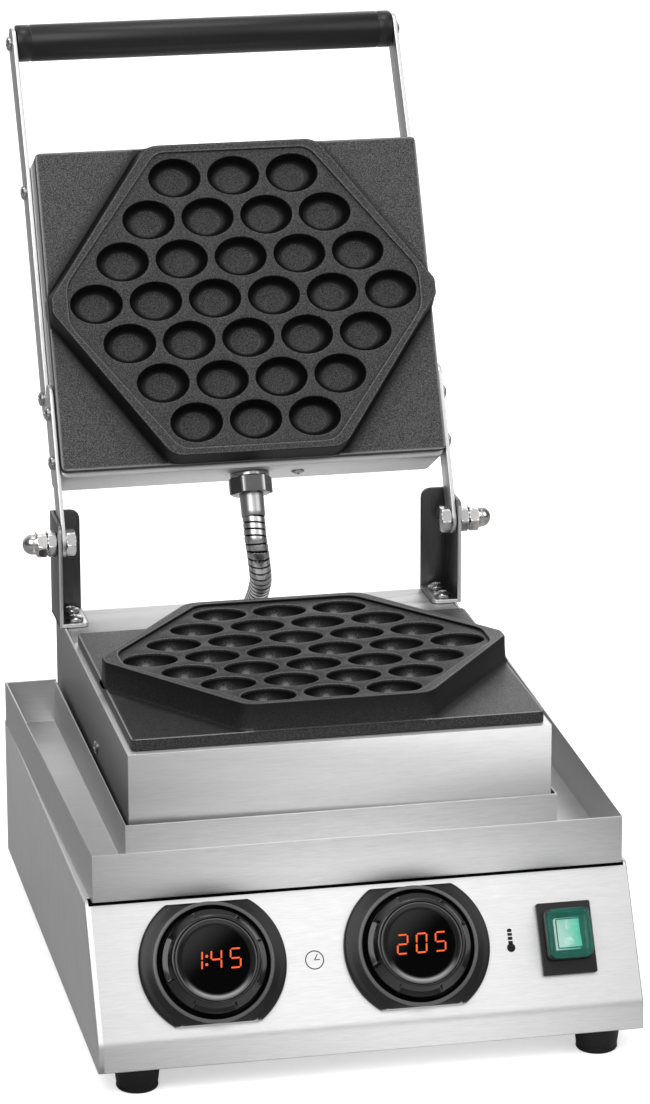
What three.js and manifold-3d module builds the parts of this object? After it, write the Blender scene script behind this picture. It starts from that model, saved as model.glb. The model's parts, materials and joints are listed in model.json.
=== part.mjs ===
// Bubble waffle maker: a table-top iron with two hinged cast plates of thirty bubbles each.
//
// Lengths are in millimetres and angles in degrees. X runs across the machine, Y from front to
// back and Z up. Inside the machine group, Y is counted from the centre of the baking plates and
// Z from the ground. The group itself is shifted so that the origin of the whole model is the
// bottom centre of its bounding box, with the lid open as it is shown.

import * as THREE from 'three';
import { mergeVertices } from 'three/addons/utils/BufferGeometryUtils.js';
import Module from 'manifold-3d';

const wasm = await Module();
wasm.setup();

// Driving dimensions

const seat = 0.3; // clearance between two pieces that seat on each other
const overrun = 4; // how far a cutting body passes the face that it cuts

const lidOpening = 116.8;
const hingeBehind = 125; // from the plates' centre back to the hinge axis
const hingeAboveLand = 27.6;

const bubblePitch = 32.5;
const bubbleRowSpacing = 22.63;
const bubbleWidth = 28.8;
const bubbleLength = 21.8;
const bubbleDepth = 10;
const bubbleRows = [3, 4, 5, 6, 5, 4, 3];

const plateSideMargin = 10.35; // from the outermost bubble to the plate's side
const plateEndMargin = 9.41; // from the first and last row to the plate's edge
const flangeThickness = 6;
const islandHeight = 12;
const rimHeight = 1.8;
const rimGap = 0.4; // between the two rims with the lid closed

const baseWidth = 275.8;
const panelAhead = 132.2; // from the plates' centre to the top edge of the front panel
const panelRun = 36.9;
const panelDrop = 62.1;
const lipHeight = 13.8;
const baseBehind = 150.3;
const baseSheet = 1.5;
const footHeight = 13.1;

const traySideMargin = 1.1; // from the base's side to the tray's
const trayHeight = 25;
const trayOverhang = 4.2;
const trayBehind = 137.4;
const traySheet = 1.2;
const trayClearance = 2;

const housingSideMargin = 2.8; // from the plate's side to the housing's
const housingFrontMargin = 4.2; // from the plate's front edge
const housingRearMargin = 22; // from the hinge axis to the housing's back
const housingHeight = 60.2;
const housingSheet = 1.5;

const lidSideMargin = 0.2; // from the plate's edges to the lid's, as below
const lidFrontMargin = 0.8;
const lidRearMargin = 2.8;
const lidHeight = 38.2;
const lidSheet = 1.5;

const handleDiameter = 20.5;
const handleAhead = 161; // from the plates' centre to the handle's axis, lid closed
const handleAboveLand = 53;
const armThickness = 2.3;
const armWidth = 18;
const hingeArmWidth = 16;

const conduitDiameter = 12.2;
const conduitBore = 8.4;
const conduitRibPitch = 4.4;

// Heights and places that follow from the driving dimensions

const plateWidth = (Math.max(...bubbleRows) - 1) * bubblePitch + bubbleWidth + 2 * plateSideMargin;
const plateLength = (bubbleRows.length - 1) * bubbleRowSpacing + bubbleLength + 2 * plateEndMargin;
const housingWidth = plateWidth + 2 * housingSideMargin;
const housingAhead = plateLength / 2 + housingFrontMargin;
const housingBehind = hingeBehind + housingRearMargin;
const lidWidth = plateWidth + 2 * lidSideMargin;
const lidAhead = plateLength / 2 + lidFrontMargin;
const lidBehind = plateLength / 2 + lidRearMargin;
const trayWidth = baseWidth + 2 * traySideMargin;
const baseTop = footHeight + lipHeight + panelDrop;
const housingBottom = baseTop + seat;
const housingTop = housingBottom + housingHeight;
const plateThickness = flangeThickness + islandHeight;
const landHeight = housingTop + seat + plateThickness;
const upperLandHeight = landHeight + 2 * rimHeight + rimGap;
const lidBottom = upperLandHeight + plateThickness + seat;
const lidTop = lidBottom + lidHeight;
const hingeHeight = landHeight + hingeAboveLand;
const handleHeight = landHeight + handleAboveLand;
const armInner = lidWidth / 2 + seat;
const armOuter = armInner + armThickness;

// Materials

function finish(color, roughness, metalness, more = {}) {
  return new THREE.MeshStandardMaterial({ color, roughness, metalness, ...more });
}

const brushedSteel = finish(0xb9b9b7, 0.38, 1);
const polishedSteel = finish(0xd2d2d0, 0.16, 1);
const castBlack = finish(0x2b2b2a, 0.62, 0.35);
const satinBlack = finish(0x1a1a1b, 0.42, 0);
const moduleBlack = finish(0x222224, 0.7, 0);
const displayGlass = finish(0x050506, 0.08, 0);
const coverGreen = finish(0x1c7a60, 0.25, 0, { transparent: true, opacity: 0.6 });
const lampGreen = finish(0x66dcb4, 0.35, 0, { emissive: 0x2fae86 });
const footRubber = finish(0x0c0c0c, 0.85, 0);
const heaterSteel = finish(0x6d6a66, 0.5, 1);
const boardGreen = finish(0x1f5a38, 0.6, 0);
const ceramicWhite = finish(0xe6e2d8, 0.6, 0);

// Solids and their geometry

function solid(geometry) {
  const bare = geometry.clone();
  bare.deleteAttribute('normal');
  bare.deleteAttribute('uv');
  const merged = mergeVertices(bare, 1e-5);
  return new wasm.Manifold(new wasm.Mesh({
    numProp: 3,
    vertProperties: new Float32Array(merged.attributes.position.array),
    triVerts: new Uint32Array(merged.index.array),
  }));
}

function geometryOf(manifold) {
  const mesh = manifold.getMesh();
  const geometry = new THREE.BufferGeometry();
  geometry.setAttribute('position', new THREE.BufferAttribute(mesh.vertProperties.slice(), mesh.numProp));
  geometry.setIndex(new THREE.BufferAttribute(mesh.triVerts.slice(), 1));
  geometry.computeVertexNormals();
  return geometry;
}

function piece(name, shape, material) {
  const geometry = shape.isBufferGeometry ? shape : geometryOf(shape);
  const mesh = new THREE.Mesh(geometry, material);
  mesh.name = name;
  return mesh;
}

function block(x0, x1, y0, y1, z0, z1) {
  const geometry = new THREE.BoxGeometry(x1 - x0, y1 - y0, z1 - z0);
  geometry.translate((x0 + x1) / 2, (y0 + y1) / 2, (z0 + z1) / 2);
  return solid(geometry);
}

// A shape drawn in X and Y, raised from z0 to z1.
function raised(shape, z0, z1, curveSegments = 6) {
  const depth = z1 - z0;
  const geometry = new THREE.ExtrudeGeometry(shape, { depth, bevelEnabled: false, curveSegments });
  geometry.translate(0, 0, z0);
  return solid(geometry);
}

// A shape drawn in X and Y whose lower and upper edges are rounded by the bevel.
function softened(shape, z0, z1, bevel, bevelSegments = 2) {
  const geometry = new THREE.ExtrudeGeometry(shape, {
    depth: z1 - z0 - 2 * bevel,
    bevelThickness: bevel,
    bevelSize: bevel,
    bevelOffset: -bevel,
    bevelSegments,
    curveSegments: 2,
  });
  geometry.translate(0, 0, z0 + bevel);
  return solid(geometry);
}

// A shape drawn in Y and Z, carried from x0 to x1.
function carried(shape, x0, x1, curveSegments = 3) {
  const depth = x1 - x0;
  const geometry = new THREE.ExtrudeGeometry(shape, { depth, bevelEnabled: false, curveSegments });
  geometry.applyMatrix4(new THREE.Matrix4().set(0, 0, 1, x0, 1, 0, 0, 0, 0, 1, 0, 0, 0, 0, 0, 1));
  return solid(geometry);
}

// A profile of [radius, height] points turned about Z.
function turnedGeometry(profile, segments = 20) {
  return new THREE.LatheGeometry(profile.map(([r, z]) => new THREE.Vector2(r, z)), segments)
    .rotateX(Math.PI / 2);
}

function turned(profile, segments) {
  return solid(turnedGeometry(profile, segments));
}

function rod(radius, z0, z1, segments = 12) {
  return turned([[0, z0], [radius, z0], [radius, z1], [0, z1]], segments);
}

function hexagon(acrossFlats, z0, z1) {
  return rod(acrossFlats / Math.sqrt(3), z0, z1, 6);
}

// The same solid with its Z axis laid along X or Y.
const alongX = (body) => body.rotate([0, 90, 0]);
const alongY = (body) => body.rotate([-90, 0, 0]);

function joined(bodies) {
  return bodies.reduce((sum, body) => sum.add(body));
}

function cut(body, tools) {
  return tools.reduce((rest, tool) => rest.subtract(tool), body);
}

function polygon(points) {
  return new THREE.Shape(points.map(([x, y]) => new THREE.Vector2(x, y)));
}

// A polygon whose corners are rounded; trim is how much of each edge a corner uses.
function roundedPolygon(points, trims) {
  const shape = new THREE.Shape();
  const corner = (i) => new THREE.Vector2(...points[(i + points.length) % points.length]);
  points.forEach((point, i) => {
    const here = corner(i);
    const trim = Array.isArray(trims) ? trims[i] : trims;
    const before = here.clone().add(corner(i - 1).sub(here).setLength(trim));
    const after = here.clone().add(corner(i + 1).sub(here).setLength(trim));
    if (i === 0) shape.moveTo(before.x, before.y);
    else shape.lineTo(before.x, before.y);
    shape.quadraticCurveTo(here.x, here.y, after.x, after.y);
  });
  shape.closePath();
  return shape;
}

function roundedRectangle(width, length, trim, centreX = 0, centreY = 0) {
  const x = width / 2;
  const y = length / 2;
  const corners = [[-x, -y], [x, -y], [x, y], [-x, y]];
  return roundedPolygon(corners.map(([cx, cy]) => [cx + centreX, cy + centreY]), trim);
}

// A flat bar of the given width, with round ends, between two points of Y and Z.
function strap([ya, za], [yb, zb], width, x0, x1) {
  const angle = Math.atan2(zb - za, yb - ya);
  const shape = new THREE.Shape();
  shape.absarc(yb, zb, width / 2, angle - Math.PI / 2, angle + Math.PI / 2);
  shape.absarc(ya, za, width / 2, angle + Math.PI / 2, angle + 3 * Math.PI / 2);
  shape.closePath();
  return carried(shape, x0, x1);
}

function placed(mesh, x, y, z) {
  mesh.position.set(x, y, z);
  return mesh;
}

const machine = new THREE.Group();
const sides = [{ word: 'left', sign: -1 }, { word: 'right', sign: 1 }];
const degrees = Math.PI / 180;

// Screws with a domed head. The head's seat is at zero and the shank goes down from it.

const screwHeadDiameter = 8;
const screwHeadHeight = 2.6;
const screwShankDiameter = 4;
const screwHoleDiameter = 4.8;
const screwSides = 8;

function screwGeometry(shankLength) {
  const head = screwHeadDiameter / 2;
  const shank = screwShankDiameter / 2;
  const crownShare = 0.72;
  const brimShare = 0.45;
  return turnedGeometry([
    [0, -shankLength],
    [shank, -shankLength],
    [shank, seat],
    [head, seat],
    [head, seat + screwHeadHeight * brimShare],
    [head * crownShare, seat + screwHeadHeight],
    [0, seat + screwHeadHeight],
  ], screwSides);
}

function screwHole(depth) {
  return rod(screwHoleDiameter / 2, -depth, overrun, screwSides);
}

// Base: a folded sheet with a sloping front panel

const knobCentreShares = [-0.281, 0.09246]; // of the base's width, from its middle
const knobCentresX = knobCentreShares.map((share) => share * baseWidth);
const knobDown = 35.3; // from the panel's top edge down the slope to a knob's centre
const switchCentreShare = 0.36875; // of the base's width, from its middle
const switchCentreX = switchCentreShare * baseWidth;
const switchDown = 37;
const neckDiameter = 28;
const neckHoleDiameter = neckDiameter + 4 * seat;
const neckSegments = 16;
const switchBodyWidth = 21;
const switchBodyLength = 29;
const wireHoleDiameter = 30;

const cordGlandMargin = 45.9; // from the base's left side
const cordGlandX = cordGlandMargin - baseWidth / 2;
const cordGlandHeight = 42;
const cordGlandDiameter = 16;
const conduitGlandX = 6;
const conduitGlandHeight = 63;
const glandStubDiameter = 14;

const slopeAngle = Math.atan2(panelDrop, panelRun);

// Lays a body that was made flat, facing +Z, onto the panel: x across, y up the slope.
function ontoPanel(body) {
  return body.rotate([slopeAngle / degrees, 0, 0]).translate([0, -panelAhead, baseTop]);
}

// The base seen from the side, drawn in by the inset.
function baseProfile(inset, bottom) {
  const back = baseBehind - inset;
  const top = baseTop - inset;
  const front = inset - panelAhead - panelRun;
  const slopeTop = inset * Math.tan(slopeAngle / 2) - panelAhead;
  const knee = footHeight + lipHeight - inset * Math.tan((Math.PI / 2 - slopeAngle) / 2);
  return polygon([[front, bottom], [back, bottom], [back, top], [slopeTop, top], [front, knee]]);
}

function baseHousing() {
  const half = baseWidth / 2;
  const outside = carried(baseProfile(0, footHeight), -half, half);
  const inside = carried(baseProfile(baseSheet, footHeight - overrun), baseSheet - half, half - baseSheet);
  const neckHole = rod(neckHoleDiameter / 2, -overrun, overrun, neckSegments);
  const tools = knobCentresX.map((x) => ontoPanel(neckHole.translate([x, -knobDown, 0])));
  const switchOutline = roundedRectangle(switchBodyWidth + 2 * seat, switchBodyLength + 2 * seat, baseSheet);
  const switchHole = raised(switchOutline, -overrun, overrun, 2);
  tools.push(ontoPanel(switchHole.translate([switchCentreX, -switchDown, 0])));
  tools.push(rod(wireHoleDiameter / 2, baseTop - overrun, baseTop + overrun));
  const wallHole = (diameter, x, z) => (
    alongY(rod(diameter / 2 + seat, -overrun, overrun)).translate([x, baseBehind, z])
  );
  tools.push(wallHole(cordGlandDiameter, cordGlandX, cordGlandHeight));
  tools.push(wallHole(glandStubDiameter, conduitGlandX, conduitGlandHeight));
  return cut(outside.subtract(inside), tools);
}

machine.add(piece('base_housing', baseHousing(), brushedSteel));

// Bottom plate with its rows of vent slots

const ventWidth = 4;
const ventLength = 46;
const ventPitch = 12;
const ventsPerRow = 5;
const bottomLeft = seat + baseSheet - baseWidth / 2;
const bottomFront = seat + baseSheet - panelAhead - panelRun;
const bottomBack = baseBehind - baseSheet - seat;
const footCentreInset = 21;
const footFrontInset = 12.2;
const footStudDiameter = 5;
const footCentreX = baseWidth / 2 - footCentreInset;
const footPlaces = [
  { word: 'front', y: footFrontInset - panelAhead - panelRun },
  { word: 'rear', y: baseBehind - footFrontInset },
];

function bottomPlate() {
  const top = footHeight + baseSheet;
  const plate = block(bottomLeft, -bottomLeft, bottomFront, bottomBack, footHeight, top);
  const tools = [];
  for (let i = 0; i < ventsPerRow; i += 1) {
    const y = (i - (ventsPerRow - 1) / 2) * ventPitch;
    for (const { sign } of sides) {
      const x = sign * ventLength;
      tools.push(block(
        x - ventLength / 2,
        x + ventLength / 2,
        y - ventWidth / 2,
        y + ventWidth / 2,
        footHeight - overrun,
        footHeight + overrun,
      ));
    }
  }
  for (const { y } of footPlaces) {
    for (const { sign } of sides) {
      const hole = rod(footStudDiameter / 2 + seat, footHeight - overrun, footHeight + overrun, 10);
      tools.push(hole.translate([sign * footCentreX, y, 0]));
    }
  }
  return cut(plate, tools);
}

machine.add(piece('base_bottom_plate', bottomPlate(), brushedSteel));

// Rubber feet

const footTopDiameter = 23.6;
const footSoleDiameter = 20.4;
const footBeadHeight = 2.4;
const footBead = 0.5;

function footGeometry() {
  const top = footHeight - seat;
  const sole = footSoleDiameter / 2;
  const stud = footStudDiameter / 2;
  return turnedGeometry([
    [0, 0],
    [sole, 0],
    [sole + footBead, footBeadHeight / 2],
    [sole, footBeadHeight],
    [footTopDiameter / 2, top],
    [stud, top],
    [stud, footHeight + baseSheet + footBeadHeight],
    [0, footHeight + baseSheet + footBeadHeight],
  ], 14);
}

for (const { word: end, y } of footPlaces) {
  for (const { word, sign } of sides) {
    const foot = piece(`foot_${end}_${word}`, footGeometry(), footRubber);
    machine.add(placed(foot, sign * footCentreX, y, 0));
  }
}

// Drip tray: a channel on three sides of the heater housing that pulls out to the front

const trayBendRadius = 2.4;
const trayInnerDrop = 0.8;
const trayBottom = baseTop + seat;

function dripTray() {
  const front = -panelAhead - trayOverhang;
  const length = trayBehind - front;
  const top = trayBottom + trayHeight;
  const middle = (front + trayBehind) / 2;
  const innerFace = housingWidth / 2 + trayClearance;
  const innerWall = innerFace + traySheet;
  const innerFront = -housingAhead - trayClearance;
  const above = top + overrun;
  const outline = roundedRectangle(trayWidth, length, 2 * trayBendRadius, 0, middle);
  const body = softened(outline, trayBottom, above, trayBendRadius)
    .subtract(block(-trayWidth, trayWidth, front - overrun, trayBehind + overrun, top, above + overrun));
  const well = roundedRectangle(
    trayWidth - 2 * traySheet,
    length - 2 * traySheet,
    2 * trayBendRadius - traySheet,
    0,
    middle,
  );
  const channel = raised(well, trayBottom + traySheet, above, 2)
    .subtract(block(-innerWall, innerWall, innerFront - traySheet, trayBehind + overrun, trayBottom, above));
  const gap = block(-innerFace, innerFace, innerFront, trayBehind + overrun, trayBottom - overrun, above);
  const lower = block(
    -innerWall,
    innerWall,
    innerFront - traySheet,
    trayBehind + overrun,
    top - trayInnerDrop,
    above,
  );
  return cut(body, [gap, channel, lower]);
}

machine.add(piece('drip_tray', dripTray(), brushedSteel));

// Heater housing: the box that carries the lower plate and the hinge

const lipWidth = 9;
const deckGap = 2; // between the plate and the cover behind it
const deckFront = plateLength / 2 + deckGap;
const deckSheet = 1.5;
const deckLedge = 8;

function heaterHousing() {
  const half = housingWidth / 2;
  const wall = housingSheet;
  const ledgeTop = housingTop - deckSheet - seat;
  const outside = block(-half, half, -housingAhead, housingBehind, housingBottom, housingTop);
  const shaft = block(
    wall + lipWidth - half,
    half - wall - lipWidth,
    wall + lipWidth - housingAhead,
    deckFront - lipWidth,
    housingBottom - overrun,
    housingTop + overrun,
  );
  const room = block(
    wall - half,
    half - wall,
    wall - housingAhead,
    housingBehind - wall,
    housingBottom - overrun,
    ledgeTop - wall,
  );
  const underLip = block(
    wall - half,
    half - wall,
    wall - housingAhead,
    deckFront - lipWidth,
    housingBottom,
    housingTop - wall,
  );
  const deckSeat = block(
    wall - half,
    half - wall,
    deckFront,
    housingBehind - wall,
    ledgeTop,
    housingTop + overrun,
  );
  const deckWell = block(
    wall + deckLedge - half,
    half - wall - deckLedge,
    deckFront + deckLedge,
    housingBehind - wall - deckLedge,
    ledgeTop - wall - overrun,
    housingTop,
  );
  return cut(outside, [shaft, room, underLip, deckSeat, deckWell, ...bracketScrewHoles()]);
}

// Hinge brackets stand on the rear deck, each held by two screws

const bracketSheet = 2;
const bracketFootWidth = 16.1;
const bracketReach = 9; // ahead of the hinge axis
const bracketRise = 12.1; // above the hinge axis
const bracketCornerTrim = 6;
const bracketScrewInset = 7;
const bracketScrewsBehind = [-2.5, 12.5]; // from the hinge axis
const bracketSideInner = armOuter + seat;
const bracketSideOuter = bracketSideInner + bracketSheet;
const bracketInner = bracketSideOuter - bracketFootWidth;
const bracketFront = hingeBehind - bracketReach;
const bracketBottom = housingTop + seat;
const bracketTop = hingeHeight + bracketRise;
const bracketScrewX = bracketInner + bracketScrewInset;
const bracketScrewsY = bracketScrewsBehind.map((y) => hingeBehind + y);
const pivotDiameter = 8;
const pivotHoleDiameter = 8.8;

function bracketScrewHoles() {
  const top = bracketBottom + bracketSheet;
  return sides.flatMap(({ sign }) => bracketScrewsY.map(
    (y) => screwHole(top - housingTop + 2 * overrun).translate([sign * bracketScrewX, y, top]),
  ));
}

function rearDeck() {
  const half = housingWidth / 2 - housingSheet - seat;
  const back = housingBehind - housingSheet - seat;
  const plate = block(-half, half, deckFront + seat, back, housingTop - deckSheet, housingTop);
  return cut(plate, bracketScrewHoles());
}

machine.add(piece('heater_housing', heaterHousing(), brushedSteel));
machine.add(piece('rear_deck', rearDeck(), brushedSteel));

function hingeBracket(sign) {
  const near = bracketInner;
  const far = bracketSideOuter;
  const span = (x0, x1) => (sign > 0 ? [x0, x1] : [-x1, -x0]);
  const footTop = bracketBottom + bracketSheet;
  const foot = block(...span(near, far), bracketFront, housingBehind, bracketBottom, footTop);
  const side = block(...span(bracketSideInner, far), bracketFront, housingBehind, bracketBottom, bracketTop);
  const [x0, x1] = span(near, far);
  const corners = [[x0, bracketBottom], [x1, bracketBottom], [x1, bracketTop], [x0, bracketTop]];
  const trims = corners.map((corner, i) => (i === (sign > 0 ? 3 : 2) ? bracketCornerTrim : seat));
  const outline = roundedPolygon(corners, trims);
  const back = raised(outline, 0, bracketSheet, 3).rotate([90, 0, 0]).translate([0, housingBehind, 0]);
  const reach = span(near, far + overrun);
  const pivotHole = alongX(rod(pivotHoleDiameter / 2, -far - overrun, far + overrun))
    .translate([0, hingeBehind, hingeHeight])
    .intersect(block(...reach, -housingBehind, housingBehind, bracketBottom, bracketTop));
  return cut(joined([foot, side, back]), [pivotHole, ...bracketScrewHoles()]);
}

const boltHeadAcrossFlats = 13;
const boltHeadThickness = 5.3;
const nutThickness = 4.8;
const capNutHexThickness = 5.4;
const capNutLength = 12.8;
const capNutDomeShare = 0.86;
const domeBands = 3;

// Bolts lie along X with the head inside. Zero is the seat of the head on the arm.

function pivotBolt() {
  const reach = armThickness + seat + bracketSheet + seat + nutThickness + seat + capNutHexThickness;
  const head = hexagon(boltHeadAcrossFlats, -boltHeadThickness - seat, -seat);
  return head.add(rod(pivotDiameter / 2, -boltHeadThickness, reach));
}

function hexNut() {
  return hexagon(boltHeadAcrossFlats, 0, nutThickness)
    .subtract(rod(pivotHoleDiameter / 2, -overrun, nutThickness + overrun));
}

function capNut() {
  const dome = boltHeadAcrossFlats / 2 * capNutDomeShare;
  const straight = capNutLength - dome;
  const profile = [[0, 0], [dome, 0], [dome, straight]];
  for (let i = 1; i < domeBands; i += 1) {
    const angle = Math.PI / 2 * i / domeBands;
    profile.push([dome * Math.cos(angle), straight + dome * Math.sin(angle)]);
  }
  profile.push([0, capNutLength]);
  return hexagon(boltHeadAcrossFlats, 0, capNutHexThickness)
    .add(turned(profile, 12))
    .subtract(rod(pivotHoleDiameter / 2, -overrun, capNutHexThickness + 2 * seat));
}

for (const { word, sign } of sides) {
  machine.add(piece(`hinge_bracket_${word}`, hingeBracket(sign), polishedSteel));
  const stack = new THREE.Group();
  stack.position.set(sign * armInner, hingeBehind, hingeHeight);
  stack.rotation.y = sign * Math.PI / 2;
  const nutSeat = bracketSideOuter - armInner + seat;
  stack.add(piece(`pivot_bolt_${word}`, pivotBolt(), polishedSteel));
  const capSeat = nutSeat + nutThickness + seat;
  stack.add(placed(piece(`pivot_nut_${word}`, hexNut(), polishedSteel), 0, 0, nutSeat));
  stack.add(placed(piece(`pivot_cap_nut_${word}`, capNut(), polishedSteel), 0, 0, capSeat));
  machine.add(stack);
  bracketScrewsY.forEach((y, i) => {
    const name = `bracket_screw_${i === 0 ? 'front' : 'rear'}_${word}`;
    const screw = piece(name, screwGeometry(bracketSheet + deckSheet), polishedSteel);
    machine.add(placed(screw, sign * bracketScrewX, y, bracketBottom + bracketSheet));
  });
}

// Baking plates: a flange, a raised hexagonal island, a recessed land and thirty bubbles

const islandReach = 22.7; // from the line of the outer bubbles' centres out to the island's edge
const recessReach = 16.2;
const islandFlatInset = 2;
const recessFlatInset = 6.2;
const recessTipInset = 9;
const islandCornerTrim = 7;
const recessCornerTrim = 5.5;
const tipCornerTrim = 1.5;
const flangeCornerTrim = 2.5;
const bowlSweep = 60; // a bowl ends in a flat disc at this angle of its curve
const bowlBands = 3;
const bowlSegments = 12;

function hexagonOutline(reach, flat, tip, flatTrim, tipTrim) {
  const slant = Math.atan2(bubbleRowSpacing, bubblePitch / 2);
  const outerCentre = (Math.max(...bubbleRows) - 1) / 2 * bubblePitch;
  const crossing = outerCentre + reach / Math.sin(slant);
  const tipY = Math.max((crossing - tip) * Math.tan(slant), tipTrim * 2);
  const flatX = crossing - flat / Math.tan(slant);
  const front = [[-tip, -tipY], [-flatX, -flat], [flatX, -flat], [tip, -tipY]];
  const back = front.map(([x, y]) => [-x, -y]);
  return roundedPolygon(
    [...front, ...back],
    [tipTrim, flatTrim, flatTrim, tipTrim, tipTrim, flatTrim, flatTrim, tipTrim],
  );
}

function bowl() {
  const profile = [[0, overrun], [1, overrun]];
  const sweep = bowlSweep * degrees;
  for (let i = 0; i <= bowlBands; i += 1) {
    const angle = sweep * i / bowlBands;
    profile.push([Math.cos(angle), -bubbleDepth * Math.sin(angle) / Math.sin(sweep)]);
  }
  profile.push([0, -bubbleDepth]);
  return turned(profile.reverse(), bowlSegments).scale([bubbleWidth / 2, bubbleLength / 2, 1]);
}

function bubbleCentres() {
  return bubbleRows.flatMap((count, row) => {
    const y = (row - (bubbleRows.length - 1) / 2) * bubbleRowSpacing;
    return Array.from({ length: count }, (_, i) => [(i - (count - 1) / 2) * bubblePitch, y]);
  });
}

// The land is at zero and the bubbles open upward.
function bakingPlateGeometry() {
  const flangeTop = -islandHeight;
  const half = plateLength / 2;
  const outline = roundedRectangle(plateWidth, plateLength, flangeCornerTrim);
  const flange = raised(outline, -plateThickness, flangeTop, 2);
  const island = raised(
    hexagonOutline(islandReach, half - islandFlatInset, plateWidth / 2, islandCornerTrim, tipCornerTrim),
    flangeTop - flangeThickness / 2,
    rimHeight,
    3,
  );
  const recess = raised(
    hexagonOutline(
      recessReach,
      half - recessFlatInset,
      plateWidth / 2 - recessTipInset,
      recessCornerTrim,
      recessCornerTrim,
    ),
    0,
    rimHeight + overrun,
    3,
  );
  const oneBowl = bowl();
  const bowls = bubbleCentres().map(([x, y]) => oneBowl.translate([x, y, 0]));
  return geometryOf(cut(flange.add(island), [recess, ...bowls]));
}

const bakingPlate = bakingPlateGeometry();
machine.add(placed(piece('lower_baking_plate', bakingPlate, castBlack), 0, 0, landHeight));

// Heating element under a plate: a bent tube with both ends turned away from the plate

const elementDiameter = 8;
const elementEndDrop = 18;
const elementSteps = 38;

// Places along the tube, as shares of the plate's half width and half length.
const elementRouteShares = [
  [-0.16, 0.66],
  [-0.42, 0.6],
  [-0.66, 0.2],
  [-0.6, -0.4],
  [-0.28, -0.62],
  [0, -0.3],
];

function elementRoute() {
  const level = -plateThickness - seat - elementDiameter / 2;
  const plan = elementRouteShares.map(
    ([x, y]) => new THREE.Vector3(x * plateWidth / 2, y * plateLength / 2, level),
  );
  const corner = plan[0];
  const bendStart = corner.clone().setZ(level - elementDiameter);
  const bendEnd = corner.clone().add(plan[1].clone().sub(corner).setLength(elementDiameter));
  const mirrored = (p) => p.clone().setX(-p.x);
  const left = [bendEnd, ...plan.slice(1)];
  const right = left.slice(0, -1).reverse().map(mirrored);
  const route = new THREE.CurvePath();
  route.add(new THREE.LineCurve3(corner.clone().setZ(level - elementEndDrop), bendStart));
  route.add(new THREE.QuadraticBezierCurve3(bendStart, corner, bendEnd));
  route.add(new THREE.CatmullRomCurve3([...left, ...right], false, 'centripetal'));
  route.add(new THREE.QuadraticBezierCurve3(mirrored(bendEnd), mirrored(corner), mirrored(bendStart)));
  route.add(new THREE.LineCurve3(mirrored(bendStart), mirrored(corner).setZ(level - elementEndDrop)));
  return route;
}

function elementGeometry() {
  const section = new THREE.Shape();
  section.absarc(0, 0, elementDiameter / 2, 0, 2 * Math.PI);
  const extrudePath = elementRoute();
  return new THREE.ExtrudeGeometry(section, { steps: elementSteps, extrudePath, curveSegments: 3 });
}

const sensorDiameter = 6;
const sensorLength = 48;
const sensorY = 16;

function sensor() {
  const probe = rod(sensorDiameter / 2, -sensorLength / 2, sensorLength / 2, 10);
  const cable = rod(sensorDiameter / 4, sensorLength / 2 - seat, sensorLength, 8);
  return alongX(probe.add(cable));
}

const heater = elementGeometry();
const probeLevel = plateThickness + seat + sensorDiameter / 2;
const lowerSensor = piece('lower_temperature_sensor', sensor(), heaterSteel);
machine.add(placed(piece('lower_heating_element', heater, heaterSteel), 0, 0, landHeight));
machine.add(placed(lowerSensor, 0, sensorY, landHeight - probeLevel));

// Front panel: two dials with a display in the middle, and a covered rocker switch

const panel = new THREE.Group();
panel.position.set(0, -panelAhead, baseTop);
panel.rotation.x = slopeAngle;
machine.add(panel);

const bezelDiameter = 74;
const bezelFlatHeight = 61;
const bezelThickness = 3;
const bezelFloor = 1.5;
const crownDiameter = 68;
const ringOuterDiameter = 59.6;
const ringInnerDiameter = 56.6;
const ringTop = 5.6;
const dialDiameter = 52.6;
const dialSkirtTop = 7.4;
const dialTopDiameter = 43.6;
const dialTop = 13.6;
const displayDiameter = 40.6;
const displayTop = 13.8;
const displayTravel = 1;
const displayStemDiameter = 20;
const neckTop = 6.4;
const dialWebTop = 5;
const moduleWidth = 58;
const moduleLength = 50;
const moduleDepth = 18;
const knobSegments = 24;
const gripCount = 4;
const gripSpan = 52;
const gripDepth = 3;
const gripInnerDiameter = 45;
const gripOuterDiameter = 49.6;

function knobBezel() {
  const cap = Math.acos(bezelFlatHeight / bezelDiameter);
  const shape = new THREE.Shape();
  shape.absarc(0, 0, bezelDiameter / 2, cap - Math.PI / 2, Math.PI / 2 - cap);
  shape.absarc(0, 0, bezelDiameter / 2, Math.PI / 2 + cap, 3 * Math.PI / 2 - cap);
  shape.closePath();
  const plate = raised(shape, seat, bezelThickness, 6);
  const crown = turned([
    [0, bezelFloor],
    [crownDiameter / 2, bezelFloor],
    [ringOuterDiameter / 2, ringTop - seat],
    [(ringOuterDiameter + ringInnerDiameter) / 4, ringTop],
    [0, ringTop],
  ], knobSegments).intersect(block(
    -bezelDiameter,
    bezelDiameter,
    -bezelFlatHeight / 2,
    bezelFlatHeight / 2,
    0,
    ringTop + overrun,
  ));
  return cut(plate.add(crown), [
    rod(ringInnerDiameter / 2, bezelFloor, ringTop + overrun, knobSegments),
    rod(neckHoleDiameter / 2, -overrun, ringTop + overrun, neckSegments),
  ]);
}

function gripRecess(index) {
  const start = (index * 360 / gripCount - gripSpan / 2) * degrees;
  const end = start + gripSpan * degrees;
  const shape = new THREE.Shape();
  shape.absarc(0, 0, gripOuterDiameter / 2, start, end);
  shape.absarc(0, 0, gripInnerDiameter / 2, end, start, true);
  shape.closePath();
  return raised(shape, dialTop - gripDepth - (dialTop - dialSkirtTop) / 2, dialTop + overrun, 2);
}

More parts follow.
